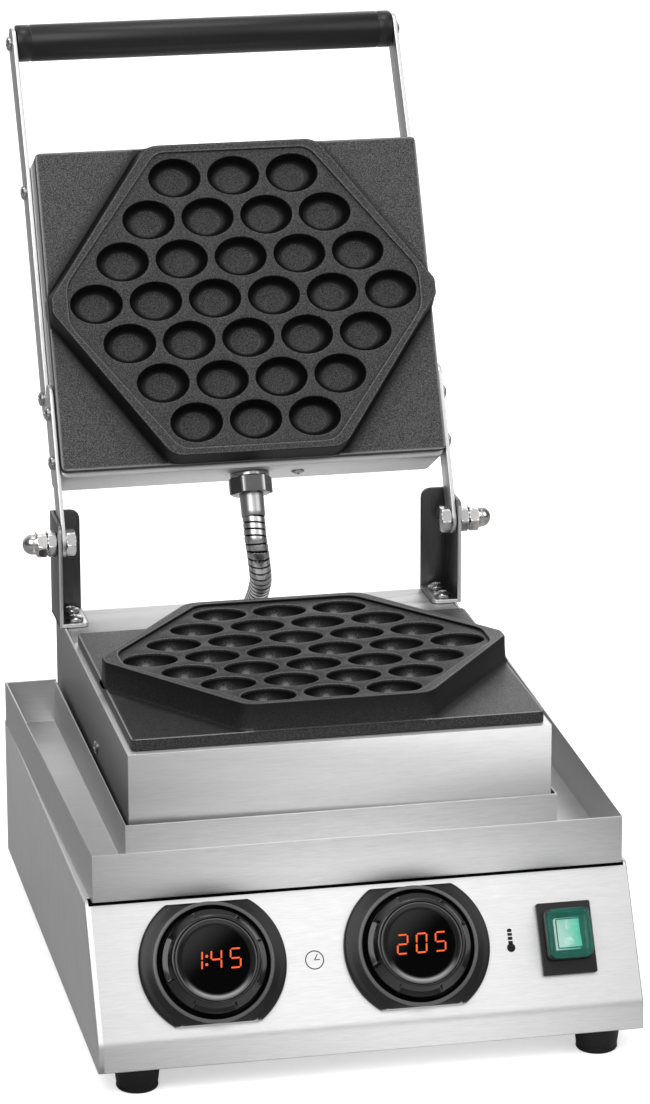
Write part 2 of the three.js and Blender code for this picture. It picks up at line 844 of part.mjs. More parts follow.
function knobDial() {
  const bottom = bezelFloor + seat;
  const body = turned([
    [0, bottom],
    [dialDiameter / 2, bottom],
    [dialDiameter / 2, dialSkirtTop],
    [dialTopDiameter / 2, dialTop],
    [0, dialTop],
  ], knobSegments);
  const tools = Array.from({ length: gripCount }, (_, i) => gripRecess(i));
  tools.push(rod(displayDiameter / 2 + seat, dialWebTop, dialTop + overrun, knobSegments));
  tools.push(rod(neckDiameter / 2 + seat, bottom - overrun, dialWebTop + overrun, neckSegments));
  return cut(body, tools);
}

function knobDisplay() {
  const stem = displayStemDiameter / 2;
  const edge = displayDiameter / 2;
  const underside = neckTop + seat + displayTravel;
  return turnedGeometry([
    [0, 0],
    [stem, 0],
    [stem, underside],
    [edge, underside],
    [edge, displayTop - seat],
    [edge - seat, displayTop],
    [0, displayTop],
  ], knobSegments);
}

function controlModule() {
  const back = -baseSheet - seat;
  const outline = roundedRectangle(moduleWidth, moduleLength, bezelThickness);
  const box = raised(outline, back - moduleDepth, back, 2);
  const neck = rod(neckDiameter / 2, back - seat, neckTop, neckSegments);
  const bore = rod(displayStemDiameter / 2 + seat, -seat - displayTravel, neckTop + overrun, knobSegments);
  return box.add(neck).subtract(bore);
}

['timer', 'temperature'].forEach((word, i) => {
  const knob = new THREE.Group();
  knob.position.set(knobCentresX[i], -knobDown, 0);
  knob.add(piece(`${word}_bezel`, knobBezel(), satinBlack));
  knob.add(piece(`${word}_dial`, knobDial(), satinBlack));
  knob.add(piece(`${word}_display`, knobDisplay(), displayGlass));
  knob.add(piece(`${word}_module`, controlModule(), moduleBlack));
  panel.add(knob);
});

const switchFlangeWidth = 27.7;
const switchFlangeLength = 36.4;
const switchFlangeThickness = 3;
const collarWidth = 24.4;
const collarLength = 27.6;
const collarTop = 9;
const collarWall = 1.8;
const collarFloor = 5;
const switchBodyDepth = 20;
const rockerWidth = 12;
const rockerLength = 15;
const rockerWellGap = 1; // room for the ends to swing; the sides bear on the frame
const rockerWellFloor = -4;
const rockerAxisHeight = 1.5;
const rockerCrown = 7.2;
const rockerDip = 5.8;
const rockerTilt = 7;
const coverThickness = 2.6;
const coverEdge = 1.2;

function switchFrame() {
  const flangeOutline = roundedRectangle(switchFlangeWidth, switchFlangeLength, 2 * coverEdge);
  const collarOutline = roundedRectangle(collarWidth, collarLength, 2 * coverEdge);
  const bodyOutline = roundedRectangle(switchBodyWidth, switchBodyLength, coverEdge);
  const flange = softened(flangeOutline, seat, switchFlangeThickness, seat, 1);
  const collar = raised(collarOutline, 2 * seat, collarTop, 3);
  const body = raised(bodyOutline, -switchBodyDepth, 2 * seat, 2);
  const well = raised(
    roundedRectangle(rockerWidth + 2 * seat, rockerLength + 3 * rockerWellGap, seat),
    rockerWellFloor,
    collarTop + overrun,
    2,
  );
  const recess = raised(
    roundedRectangle(collarWidth - 2 * collarWall, collarLength - 2 * collarWall, coverEdge),
    collarFloor,
    collarTop + overrun,
    3,
  );
  return cut(joined([flange, collar, body]), [well, recess]);
}

function rocker() {
  const end = rockerLength / 2;
  const bottom = -rockerWellGap;
  const shape = new THREE.Shape();
  shape.moveTo(-end, bottom);
  shape.lineTo(0, rockerWellFloor + rockerWellGap);
  shape.lineTo(end, bottom);
  shape.lineTo(end, rockerCrown);
  shape.quadraticCurveTo(0, rockerDip, -end, rockerCrown);
  shape.closePath();
  const half = rockerWidth / 2;
  return carried(shape, -half, half, 4).translate([0, 0, -rockerAxisHeight]);
}

function switchCover() {
  const shape = roundedRectangle(collarWidth, collarLength, 3 * coverEdge);
  const floor = collarTop + seat;
  return softened(shape, floor - coverEdge, floor + coverThickness, coverEdge)
    .subtract(block(-collarWidth, collarWidth, -collarLength, collarLength, floor - overrun, floor));
}

const switchGroup = new THREE.Group();
switchGroup.position.set(switchCentreX, -switchDown, 0);
switchGroup.add(piece('switch_frame', switchFrame(), satinBlack));
const rockerPiece = piece('switch_rocker', rocker(), lampGreen);
rockerPiece.position.z = rockerAxisHeight;
rockerPiece.rotation.x = -rockerTilt * degrees;
switchGroup.add(rockerPiece);
switchGroup.add(piece('switch_cover', switchCover(), coverGreen));
panel.add(switchGroup);

// Inside the base: the power board on its posts and the mains terminals

const boardWidth = 96;
const boardLength = 62;
const boardThickness = 1.6;
const boardCentreX = -40;
const boardRearMargin = 84.3;
const boardCentreY = baseBehind - boardRearMargin;
const postHeight = 8;
const postDiameter = 6;
const relayPitch = 56;
const relayWidth = 22;
const relayLength = 22;
const relayHeight = 18;
const terminalWidth = 44;
const terminalLength = 18;
const terminalHeight = 16;
const terminalSlot = 5;
const terminalWays = 4;
const insideFloor = footHeight + baseSheet + seat;

function powerBoard() {
  const post = rod(postDiameter / 2, 0, postHeight + seat, 8);
  const postX = boardWidth / 2 - postDiameter;
  const postY = boardLength / 2 - postDiameter;
  const posts = [-postX, postX].flatMap((x) => [-postY, postY].map((y) => post.translate([x, y, 0])));
  const top = postHeight + boardThickness;
  const board = block(-boardWidth / 2, boardWidth / 2, -boardLength / 2, boardLength / 2, postHeight, top);
  const relays = [-relayPitch / 2, relayPitch / 2].map((x) => block(
    x - relayWidth / 2,
    x + relayWidth / 2,
    -relayLength / 2,
    relayLength / 2,
    postHeight,
    top + relayHeight,
  ));
  return joined([board, ...posts, ...relays]);
}

function terminalBlock() {
  const halfWidth = terminalWidth / 2;
  const halfLength = terminalLength / 2;
  const body = block(-halfWidth, halfWidth, -halfLength, halfLength, 0, terminalHeight);
  const pitch = terminalWidth / terminalWays;
  const slots = Array.from({ length: terminalWays }, (_, i) => {
    const x = (i - (terminalWays - 1) / 2) * pitch;
    return block(
      x - terminalSlot / 2,
      x + terminalSlot / 2,
      -terminalLength,
      terminalSlot - halfLength,
      terminalHeight / 2,
      terminalHeight + overrun,
    );
  });
  return cut(body, slots);
}

const board = piece('power_board', powerBoard(), boardGreen);
const terminals = piece('terminal_block', terminalBlock(), ceramicWhite);
machine.add(placed(board, boardCentreX, boardCentreY, insideFloor));
machine.add(placed(terminals, cordGlandX, baseBehind - 2 * terminalLength, insideFloor));

// Gland for the mains cord on the rear wall

const cordGlandFlange = 24;
const cordGlandLength = 16;
const cordBore = 8;

function cordGland() {
  const inner = baseSheet + overrun;
  const flange = cordGlandFlange / 2;
  const barrel = cordGlandDiameter / 2;
  return alongY(turned([
    [cordBore / 2, -inner],
    [barrel, -inner],
    [barrel, seat],
    [flange, seat],
    [flange, overrun],
    [barrel, overrun + seat],
    [(barrel + cordBore / 2) / 2, cordGlandLength],
    [cordBore / 2, cordGlandLength],
    [cordBore / 2, -inner],
  ], 12));
}

machine.add(placed(piece('cord_gland', cordGland(), satinBlack), cordGlandX, baseBehind, cordGlandHeight));

// Glands of the metal conduit: a collar, a hexagon and a ferrule on a threaded stub

const glandCollarDiameter = 21.6;
const glandCollarThickness = 2.4;
const glandAcrossFlats = 19.4;
const glandHexLength = 9;
const ferruleDiameter = 13.2;
const ferruleLength = 12.6;
const stubLength = 6;
const glandLength = glandCollarThickness + glandHexLength + ferruleLength;
const glandEnd = seat + glandLength;

// Zero is the outer face of the wall, and the gland stands out along +Y.
function conduitGland() {
  const collarTopZ = seat + glandCollarThickness;
  const hexTop = collarTopZ + glandHexLength;
  const body = joined([
    rod(glandStubDiameter / 2, -stubLength, seat * 2),
    rod(glandCollarDiameter / 2, seat, collarTopZ, 16),
    hexagon(glandAcrossFlats, collarTopZ - seat, hexTop),
    rod(ferruleDiameter / 2, hexTop - seat, glandEnd, 16),
  ]);
  return alongY(body.subtract(rod(conduitBore / 2, -stubLength - overrun, glandEnd + overrun)));
}

const baseGland = piece('base_conduit_gland', conduitGland(), polishedSteel);
machine.add(placed(baseGland, conduitGlandX, baseBehind, conduitGlandHeight));

// Lid: everything here is placed as it lies with the lid closed, and the hinge group opens it

const lid = new THREE.Group();
lid.position.set(0, hingeBehind, hingeHeight);
lid.rotation.x = -lidOpening * degrees;
const closed = new THREE.Group();
closed.position.set(0, -hingeBehind, -hingeHeight);
lid.add(closed);
machine.add(lid);

const lidCornerTrim = 5;
const lidLipWidth = 9;
const lidGlandDrop = 21.5; // from the lid's top down to the gland's axis
const handleArmDrop = 15; // from the lid's top down to the middle of a handle arm
const handleBendAhead = 85; // where a handle arm starts to rise
const handleArmEnd = 44;
const lidGlandHeight = lidTop - lidGlandDrop;
const handleArmHeight = lidTop - handleArmDrop;
const hingeArmEnd = 46;
const handleArmScrewsY = [-74, 42];
const hingeArmScrewsY = [54, 81];
const armScrewLength = armThickness + seat + lidSheet;

function armScrewPlaces() {
  const row = (arm, places, z) => places.map(
    (y, i) => ({ word: `${arm}_screw_${i === 0 ? 'front' : 'rear'}`, y, z }),
  );
  return [
    ...row('handle_arm', handleArmScrewsY, handleArmHeight),
    ...row('hinge_arm', hingeArmScrewsY, hingeHeight),
  ];
}

// Holes for the arm screws, right through from side to side.
function armScrewHoles() {
  const reach = armOuter + overrun;
  const hole = alongX(rod(screwHoleDiameter / 2, -reach, reach, screwSides));
  return armScrewPlaces().map(({ y, z }) => hole.translate([0, y, z]));
}

function lidHousing() {
  const length = lidAhead + lidBehind;
  const middle = (lidBehind - lidAhead) / 2;
  const wall = lidSheet;
  const outline = roundedRectangle(lidWidth, length, lidCornerTrim, 0, middle);
  const below = lidBottom - overrun;
  const outside = softened(outline, below, lidTop, wall)
    .subtract(block(-lidWidth, lidWidth, -2 * lidAhead, 2 * lidBehind, below - overrun, lidBottom));
  const inside = raised(
    roundedRectangle(lidWidth - 2 * wall, length - 2 * wall, lidCornerTrim - wall, 0, middle),
    lidBottom + wall,
    lidTop - wall,
    3,
  );
  const mouth = raised(
    roundedRectangle(lidWidth - 2 * lidLipWidth, length - 2 * lidLipWidth, lidCornerTrim, 0, middle),
    below,
    lidBottom + overrun,
    3,
  );
  const glandHole = alongY(rod(glandStubDiameter / 2 + seat, -overrun, overrun));
  const tools = [inside, mouth, glandHole.translate([0, lidBehind, lidGlandHeight])];
  return cut(outside, [...tools, ...armScrewHoles()]);
}

const upperPlate = piece('upper_baking_plate', bakingPlate, castBlack);
upperPlate.rotation.x = Math.PI;
const upperHeater = piece('upper_heating_element', heater, heaterSteel);
upperHeater.rotation.x = Math.PI;
const upperSensor = piece('upper_temperature_sensor', sensor(), heaterSteel);
const lidGland = piece('lid_conduit_gland', conduitGland(), polishedSteel);
closed.add(piece('lid_housing', lidHousing(), brushedSteel));
closed.add(placed(upperPlate, 0, 0, upperLandHeight));
closed.add(placed(upperHeater, 0, 0, upperLandHeight));
closed.add(placed(upperSensor, 0, sensorY, upperLandHeight + probeLevel));
closed.add(placed(lidGland, 0, lidBehind, lidGlandHeight));

// Handle and arms

const handleScrewDepth = 8;

function handleTube() {
  const half = armInner - seat;
  const grip = rod(handleDiameter / 2, -half, half, 24);
  const screwWell = rod(screwHoleDiameter / 2, half - handleScrewDepth - seat, half + overrun, screwSides);
  return alongX(cut(grip, [screwWell, screwWell.mirror([0, 0, 1])]));
}

function handleArm(sign) {
  const [x0, x1] = sign > 0 ? [armInner, armOuter] : [-armOuter, -armInner];
  const bend = [-handleBendAhead, handleArmHeight];
  const arm = strap(bend, [handleArmEnd, handleArmHeight], armWidth, x0, x1)
    .add(strap([-handleAhead, handleHeight], bend, armWidth, x0, x1));
  const endHole = alongX(rod(screwHoleDiameter / 2, -armOuter - overrun, armOuter + overrun, screwSides));
  return cut(arm, [endHole.translate([0, -handleAhead, handleHeight]), ...armScrewHoles()]);
}

function hingeArm(sign) {
  const [x0, x1] = sign > 0 ? [armInner, armOuter] : [-armOuter, -armInner];
  const arm = strap([hingeArmEnd, hingeHeight], [hingeBehind, hingeHeight], hingeArmWidth, x0, x1);
  const pivotHole = alongX(rod(pivotHoleDiameter / 2, -armOuter - overrun, armOuter + overrun));
  return cut(arm, [pivotHole.translate([0, hingeBehind, hingeHeight]), ...armScrewHoles()]);
}

closed.add(placed(piece('handle_grip', handleTube(), satinBlack), 0, -handleAhead, handleHeight));

for (const { word, sign } of sides) {
  closed.add(piece(`handle_arm_${word}`, handleArm(sign), brushedSteel));
  closed.add(piece(`hinge_arm_${word}`, hingeArm(sign), brushedSteel));
  const endShank = armThickness + seat + handleScrewDepth;
  const endScrew = piece(`handle_end_screw_${word}`, screwGeometry(endShank), polishedSteel);
  endScrew.rotation.y = sign * Math.PI / 2;
  closed.add(placed(endScrew, sign * armOuter, -handleAhead, handleHeight));
  for (const { word: place, y, z } of armScrewPlaces()) {
    const screw = piece(`${place}_${word}`, screwGeometry(armScrewLength), polishedSteel);
    screw.rotation.y = sign * Math.PI / 2;
    closed.add(placed(screw, sign * armOuter, y, z));
  }
}

// Flexible metal conduit from the lid's gland round behind the housing to the base's gland

// Places along its free run with the lid open, chosen by hand: the first ones are counted from
// the straight stretch at the lid's gland and the last ones from the stretch at the base's gland.
const conduitFromLid = [
  [1, -1.4, -7.8],
  [2.5, 1.1, -17.8],
  [4, 7.1, -25.8],
  [5, 15.6, -31.8],
  [6, 27.1, -40.3],
];
const conduitFromBase = [
  [0.5, -10.1, 73],
  [0.5, 4.9, 59],
  [0.5, 15.9, 42],
  [0.5, 19.9, 25],
  [0, 13.9, 8],
];
const conduitSides = 8;
const conduitRibsPerBoreRing = 5;
const conduitGrooveShare = 0.86;
const conduitMostRibs = 200; // keeps the mesh small if the conduit is made longer

function lidPoint(y, z) {
  const angle = -lidOpening * degrees;
  const dy = y - hingeBehind;
  const dz = z - hingeHeight;
  return new THREE.Vector3(
    0,
    hingeBehind + dy * Math.cos(angle) - dz * Math.sin(angle),
    hingeHeight + dy * Math.sin(angle) + dz * Math.cos(angle),
  );
}

function conduitCurve() {
  const end = glandLength + 2 * seat;
  const lidEnd = lidPoint(lidBehind + end, lidGlandHeight);
  const lidStraight = lidPoint(lidBehind + end + conduitDiameter, lidGlandHeight);
  const baseEnd = new THREE.Vector3(conduitGlandX, baseBehind + end, conduitGlandHeight);
  const baseStraight = baseEnd.clone().add(new THREE.Vector3(0, conduitDiameter, 0));
  const free = [
    ...conduitFromLid.map((offset) => lidStraight.clone().add(new THREE.Vector3(...offset))),
    ...conduitFromBase.map((offset) => baseStraight.clone().add(new THREE.Vector3(...offset))),
  ];
  const curve = new THREE.CurvePath();
  curve.add(new THREE.LineCurve3(lidEnd, lidStraight));
  curve.add(new THREE.CatmullRomCurve3([lidStraight, ...free, baseStraight], false, 'centripetal'));
  curve.add(new THREE.LineCurve3(baseStraight, baseEnd));
  return curve;
}

function ring(centre, normal, binormal, radius) {
  return Array.from({ length: conduitSides }, (_, i) => {
    const angle = 2 * Math.PI * i / conduitSides;
    return centre.clone()
      .addScaledVector(normal, radius * Math.cos(angle))
      .addScaledVector(binormal, radius * Math.sin(angle));
  });
}

function stitched(rings) {
  const positions = rings.flat().flatMap((p) => [p.x, p.y, p.z]);
  const index = [];
  const count = rings.length;
  for (let r = 0; r < count; r += 1) {
    const next = (r + 1) % count;
    for (let i = 0; i < conduitSides; i += 1) {
      const a = r * conduitSides + i;
      const b = r * conduitSides + (i + 1) % conduitSides;
      const c = next * conduitSides + i;
      const d = next * conduitSides + (i + 1) % conduitSides;
      index.push(a, b, d, a, d, c);
    }
  }
  const geometry = new THREE.BufferGeometry();
  geometry.setAttribute('position', new THREE.Float32BufferAttribute(positions, 3));
  geometry.setIndex(index);
  geometry.computeVertexNormals();
  return geometry;
}

// The ring of rings runs down the outside, a crest and a groove per rib, and back up the bore.
function conduitGeometry() {
  const curve = conduitCurve();
  const length = curve.getLength();
  const ribs = Math.min(conduitMostRibs, Math.round(length / conduitRibPitch));
  const frames = curve.computeFrenetFrames(2 * ribs, false);
  const points = curve.getSpacedPoints(2 * ribs);
  const radius = conduitDiameter / 2;
  const outer = points.map((point, i) => {
    const share = i % 2 === 0 ? 1 : conduitGrooveShare;
    return ring(point, frames.normals[i], frames.binormals[i], radius * share);
  });
  const bore = [];
  for (let i = points.length - 1; i >= 0; i -= 1) {
    const onStep = i % (2 * conduitRibsPerBoreRing) === 0 || i === points.length - 1;
    if (onStep) bore.push(ring(points[i], frames.normals[i], frames.binormals[i], conduitBore / 2));
  }
  reportLeastGap(points, length);
  return stitched([...outer, ...bore]);
}

// Two stretches of the conduit count as apart when three diameters of it lie between them.
function reportLeastGap(points, length) {
  const apart = Math.ceil(3 * conduitDiameter * points.length / length);
  let least = Infinity;
  for (let i = 0; i < points.length; i += 1) {
    for (let j = i + apart; j < points.length; j += 1) {
      least = Math.min(least, points[i].distanceTo(points[j]));
    }
  }
  const gap = (least - conduitDiameter).toFixed(1);
  console.log(`conduit: ${length.toFixed(0)} mm long, least gap to itself ${gap} mm`);
}

machine.add(piece('flexible_conduit', conduitGeometry(), polishedSteel));

// Shift to the bottom centre of the bounding box

const dialEdgeDown = knobDown + dialTopDiameter / 2;
const frontReach = -panelAhead - dialEdgeDown * Math.cos(slopeAngle) - dialTop * Math.sin(slopeAngle);
const rearReach = lidPoint(-handleAhead, handleHeight).y + handleDiameter / 2;
machine.position.y = -(frontReach + rearReach) / 2;

const waffleMaker = new THREE.Group();
waffleMaker.name = 'bubble_waffle_maker';
waffleMaker.add(machine);

export default waffleMaker;
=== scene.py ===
"""Bubble waffle maker: the looks of every piece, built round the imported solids.

Shapes are worked out in millimetres in the machine's own places: X across, Y counted from the
centre of the baking plates towards the back, Z up from the table. Workshop.mesh moves them to
metres in the shared frame. The lid is worked out closed and swung open by LID_OPEN.
"""

import json
import logging
import math
from collections.abc import Callable
from dataclasses import dataclass
from enum import Enum

import bmesh
import bpy
import numpy as np
from mathutils import Matrix, Vector
from mathutils.geometry import delaunay_2d_cdt

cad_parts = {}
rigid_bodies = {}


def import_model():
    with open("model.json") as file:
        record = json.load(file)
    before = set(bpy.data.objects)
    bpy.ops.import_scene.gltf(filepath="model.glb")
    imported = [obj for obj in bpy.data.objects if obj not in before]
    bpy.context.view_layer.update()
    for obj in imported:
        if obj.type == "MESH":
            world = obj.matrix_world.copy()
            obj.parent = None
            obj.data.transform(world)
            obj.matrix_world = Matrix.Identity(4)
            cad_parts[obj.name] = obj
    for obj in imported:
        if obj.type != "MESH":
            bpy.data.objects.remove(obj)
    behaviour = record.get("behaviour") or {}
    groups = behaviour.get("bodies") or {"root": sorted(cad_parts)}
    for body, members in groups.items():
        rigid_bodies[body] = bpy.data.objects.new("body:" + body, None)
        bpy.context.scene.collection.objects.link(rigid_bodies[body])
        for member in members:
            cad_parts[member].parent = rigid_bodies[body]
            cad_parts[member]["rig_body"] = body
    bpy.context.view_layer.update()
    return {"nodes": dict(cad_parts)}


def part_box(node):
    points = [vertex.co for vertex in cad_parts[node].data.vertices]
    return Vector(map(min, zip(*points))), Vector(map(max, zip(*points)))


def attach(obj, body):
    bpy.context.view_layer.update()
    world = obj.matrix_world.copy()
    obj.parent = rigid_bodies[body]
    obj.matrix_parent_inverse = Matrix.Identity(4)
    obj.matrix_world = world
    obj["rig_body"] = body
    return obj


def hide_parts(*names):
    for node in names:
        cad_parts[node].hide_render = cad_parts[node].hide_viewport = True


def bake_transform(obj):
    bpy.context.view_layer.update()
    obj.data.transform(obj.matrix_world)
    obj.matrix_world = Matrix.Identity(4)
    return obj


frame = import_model()
LOG = logging.getLogger("waffle_maker")

Socket = bpy.types.NodeSocket
Tone = float | tuple[float, float, float]
Steps = list[tuple[float, float]]

# A millimetre in metres, and how far a seated piece stands off the face below it.
MM = 0.001
SEAT = 0.3
# The heights of the two plates' lands with the lid closed.
LAND = 167.8
UPPER_LAND = 171.8
# The hinge line's Y and Z, and how many degrees the lid is swung open.
HINGE = (125.0, 195.4)
LID_OPENING = 116.8
# The base's top, how far ahead its sloping panel starts, and the slope's rise, run and angle.
BASE_TOP = 89.0
PANEL_AHEAD = 132.2
PANEL_RISE = 62.1
PANEL_RUN = 36.9
SLOPE = math.degrees(math.atan2(PANEL_RISE, PANEL_RUN))
# How far along Y the plates' centre is from the frame's origin.
PLATE_SHIFT = sum(corner[1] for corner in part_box("lower_baking_plate")) / 2 / MM
PRINT_THICKNESS = 0.05
# How far from the machine's middle the painted highlight on brushed steel reaches; there the steel is
# darkest.
HIGHLIGHT_REACH = 140
# The degrees past which an edge is drawn sharp, and past which it is rounded.
SHARP_ANGLE = 38
BEVEL_ANGLE = 35
# The bars that each figure lights, and the two ends of each bar as shares of the figure's size.
FIGURES = {"0": "abcdef", "1": "bc", "2": "abged", "4": "fgbc", "5": "afgcd"}
BARS = {"a": (0, 1, 1, 1), "b": (1, 1, 1, 0.5), "c": (1, 0.5, 1, 0), "d": (0, 0, 1, 0),
        "e": (0, 0.5, 0, 0), "f": (0, 1, 0, 0.5), "g": (0, 0.5, 1, 0.5)}


class Side(Enum):
    """The two sides of the machine, seen from the front."""

    LEFT = -1
    RIGHT = 1

    @property
    def word(self) -> str:
        """The side's word in the names of the nodes."""
        return self.name.lower()


class Grain(Enum):
    """The way that a brushed sheet's grain runs, as how long a streak is along each axis."""

    ACROSS = (0.05, 1.0, 1.0)
    BACKWARD = (1.0, 0.05, 1.0)
    UPRIGHT = (1.0, 1.0, 0.05)


def shift(x: float, y: float, z: float) -> np.ndarray:
    """A 4 by 4 matrix that moves by x, y and z.

    Args:
        x: how far to the right.
        y: how far to the back.
        z: how far up.

    Returns:
        The matrix.
    """
    matrix = np.eye(4)
    matrix[:3, 3] = (x, y, z)
    return matrix


def turn(axis: str, angle: float) -> np.ndarray:
    """A 4 by 4 matrix that turns by an angle in degrees about an axis, X, Y or Z."""
    return np.array(Matrix.Rotation(math.radians(angle), 4, axis))


STILL = np.eye(4)
ALONG_X = turn("Y", 90)
ALONG_Y = turn("X", -90)
SIDEWAYS = np.array([[0, 0, 1, 0], [1, 0, 0, 0], [0, 1, 0, 0], [0, 0, 0, 1]], float)
UPRIGHT = np.array([[1, 0, 0, 0], [0, 0, -1, 0], [0, 1, 0, 0], [0, 0, 0, 1]], float)
PANEL = shift(0, -PANEL_AHEAD, BASE_TOP) @ turn("X", SLOPE)
LID_OPEN = shift(0, *HINGE) @ turn("X", -LID_OPENING) @ shift(0, -HINGE[0], -HINGE[1])


@dataclass
class Surface:
    """A mesh as arrays.

    Args:
        points: places in millimetres, one row each.
        faces: the corners of each face, counted in points.
    """

    points: np.ndarray
    faces: list[tuple[int, ...]]

    def placed(self, matrix: np.ndarray) -> "Surface":
        """The same mesh with a 4 by 4 matrix applied to its points."""
        return Surface(self.points @ matrix[:3, :3].T + matrix[:3, 3], self.faces)

    def __add__(self, other: "Surface") -> "Surface":
        """Both meshes as one.

        Args:
            other: the mesh that is added; its faces count on from this one's points.

        Returns:
            A new surface.
        """
        count = len(self.points)
        faces = self.faces + [tuple(i + count for i in face) for face in other.faces]
        return Surface(np.vstack([self.points, other.points]), faces)


def even_angles(count: int) -> np.ndarray:
    """The angles of a full turn in even steps."""
    return np.linspace(0, 2 * np.pi, count, endpoint=False)


def on_circle(angle: np.ndarray) -> np.ndarray:
    """Points of the unit circle, one row for each angle."""
    return np.column_stack([np.cos(angle), np.sin(angle)])


def spun(radius: np.ndarray, z: np.ndarray, angle: np.ndarray) -> np.ndarray:
    """Points about Z, a row for each ring and a column for each angle."""
    parts = np.broadcast_arrays(radius * np.cos(angle), radius * np.sin(angle), z)
    return np.stack(parts, axis=-1)


def unit(vectors: np.ndarray) -> np.ndarray:
    """Vectors in rows, each brought to a length of one."""
    return vectors / np.linalg.norm(vectors, axis=1, keepdims=True)


def leftward(along: np.ndarray) -> np.ndarray:
    """Flat directions turned a quarter to the left."""
    return np.column_stack([-along[:, 1], along[:, 0]])


def reaches(line: np.ndarray) -> np.ndarray:
    """How far along a line each of its points lies."""
    return np.concatenate([[0], np.cumsum(np.linalg.norm(np.diff(line, axis=0), axis=1))])


def level(outline: np.ndarray, z: float) -> np.ndarray:
    """A flat outline as points at one height."""
    return np.column_stack([outline, np.full(len(outline), z)])


def smooth_step(value: np.ndarray, low: float, high: float) -> np.ndarray:
    """0 below low, 1 above high and 3t^2 - 2t^3 between them."""
    t = np.clip((value - low) / (high - low), 0, 1)
    return t * t * (3 - 2 * t)


def joined(parts: list[Surface]) -> Surface:
    """Several meshes as one."""
    return sum(parts[1:], parts[0])


def woven(points: np.ndarray, close_rows: bool = False, close_columns: bool = True) -> Surface:
    """A grid of points as four-cornered faces.

    Args:
        points: rows by columns by 3.
        close_rows: joins the last row to the first.
        close_columns: joins the last column to the first.

    Returns:
        The surface, with one face between each four neighbours of the grid.
    """
    rows, columns = points.shape[:2]
    index = np.arange(rows * columns).reshape(rows, columns)
    if close_rows:
        index = np.vstack([index, index[:1]])
    if close_columns:
        index = np.hstack([index, index[:, :1]])
    quads = np.stack([index[:-1, :-1], index[:-1, 1:], index[1:, 1:], index[1:, :-1]], axis=-1)
    return Surface(points.reshape(-1, 3), [tuple(q) for q in quads.reshape(-1, 4).tolist()])


def capped(points: np.ndarray, first: bool = True) -> Surface:
    """Rings of points woven together, with a flat face over the last ring and over the first.

    Args:
        points: rings by points by 3.
        first: whether the first ring gets a face, as the last does.

    Returns:
        The surface.
    """
    surface = woven(points)
    rows, columns = points.shape[:2]
    ends = [tuple(range(columns - 1, -1, -1))] if first else []
    ends.append(tuple(range((rows - 1) * columns, rows * columns)))
    return Surface(surface.points, surface.faces + ends)


def turned(profile: np.ndarray, segments: int = 64) -> Surface:
    """A profile turned about Z: each [radius, height] point becomes a ring of segments points."""
    profile = np.asarray(profile, float)
    return woven(spun(profile[:, :1], profile[:, 1:], even_angles(segments)))


def hoop(inner: float, outer: float, low: float, high: float, segments: int = 64) -> Surface:
    """A ring about Z with a four-cornered section."""
    return turned([[inner, low], [outer, low], [outer, high], [inner, high], [inner, low]], segments)


def rounded(corners: Steps, trims: float | list[float], closed: bool = True,
            steps: int = 6) -> np.ndarray:
    """A polygon or an open line with rounded corners.

    Each corner c is replaced by the curve (1-t)^2 a + 2t(1-t) c + t^2 b, where a and b lie on its
    two edges at the trim's distance from c.

    Args:
        corners: the corners in order.
        trims: how much of each edge a corner uses, one for all or one for each corner.
        closed: whether the last corner is joined to the first.
        steps: how many pieces each curve has.

    Returns:
        The points of the line.
    """
    points = np.asarray(corners, float)
    trim = np.broadcast_to(np.asarray(trims, float), len(points))[:, None]
    start = points + unit(np.roll(points, 1, axis=0) - points) * trim
    end = points + unit(np.roll(points, -1, axis=0) - points) * trim
    t = np.linspace(0, 1, steps + 1)[None, :, None]
    curve = (1 - t) ** 2 * start[:, None] + 2 * t * (1 - t) * points[:, None] + t**2 * end[:, None]
    if not closed:
        curve[0] = points[0]
        curve[-1] = points[-1]
    line = curve.reshape(-1, 2)
    keep = np.ones(len(line), bool)
    keep[1:] = np.linalg.norm(np.diff(line, axis=0), axis=1) > 1e-6
    return line[keep]


def rounded_rectangle(width: float, length: float, trim: float, x: float = 0,
                      y: float = 0) -> np.ndarray:
    """A rectangle about x and y with rounded corners, anticlockwise."""
    w, h = width / 2, length / 2
    return rounded([(x - w, y - h), (x + w, y - h), (x + w, y + h), (x - w, y + h)], trim)


def drawn_in(outline: np.ndarray, inset: float) -> np.ndarray:
    """An anticlockwise outline moved inwards: each point goes by the inset along its own normal."""
    along = unit(np.roll(outline, -1, axis=0) - np.roll(outline, 1, axis=0))
    return outline + inset * leftward(along)


def boxed(width: float, length: float, trim: float, profile: Steps, middle: float = 0) -> np.ndarray:
    """Rings of a rounded rectangle carried through [inset, height] steps; corners stay round.

    Args:
        width: the widest ring's size along X.
        length: its size along Y.
        trim: how much of each edge its corners use.
        profile: the [inset, height] steps.
        middle: the rings' place along Y.

    Returns:
        The rings by points by 3.
    """
    return np.array([
        level(rounded_rectangle(width - 2 * inset, length - 2 * inset, max(trim - inset, 0.4), 0,
                                middle), z) for inset, z in profile])


def slab(outline: np.ndarray, z0: float, z1: float, edge: float = 0.4) -> Surface:
    """An outline raised from z0 to z1, whose lower and upper edges are quarter circles.

    Args:
        outline: the flat outline, anticlockwise.
        z0: its lower height.
        z1: its upper height.
        edge: the radius of its edges.

    Returns:
        The closed surface.
    """
    angle = np.linspace(0, np.pi / 2, 4)
    near, far = edge * (1 - np.sin(angle)), edge * (1 - np.cos(angle))
    steps = list(zip(near, z0 + far)) + list(zip(far, z1 - near))
    return capped(np.array([level(drawn_in(outline, inset), z) for inset, z in steps]))


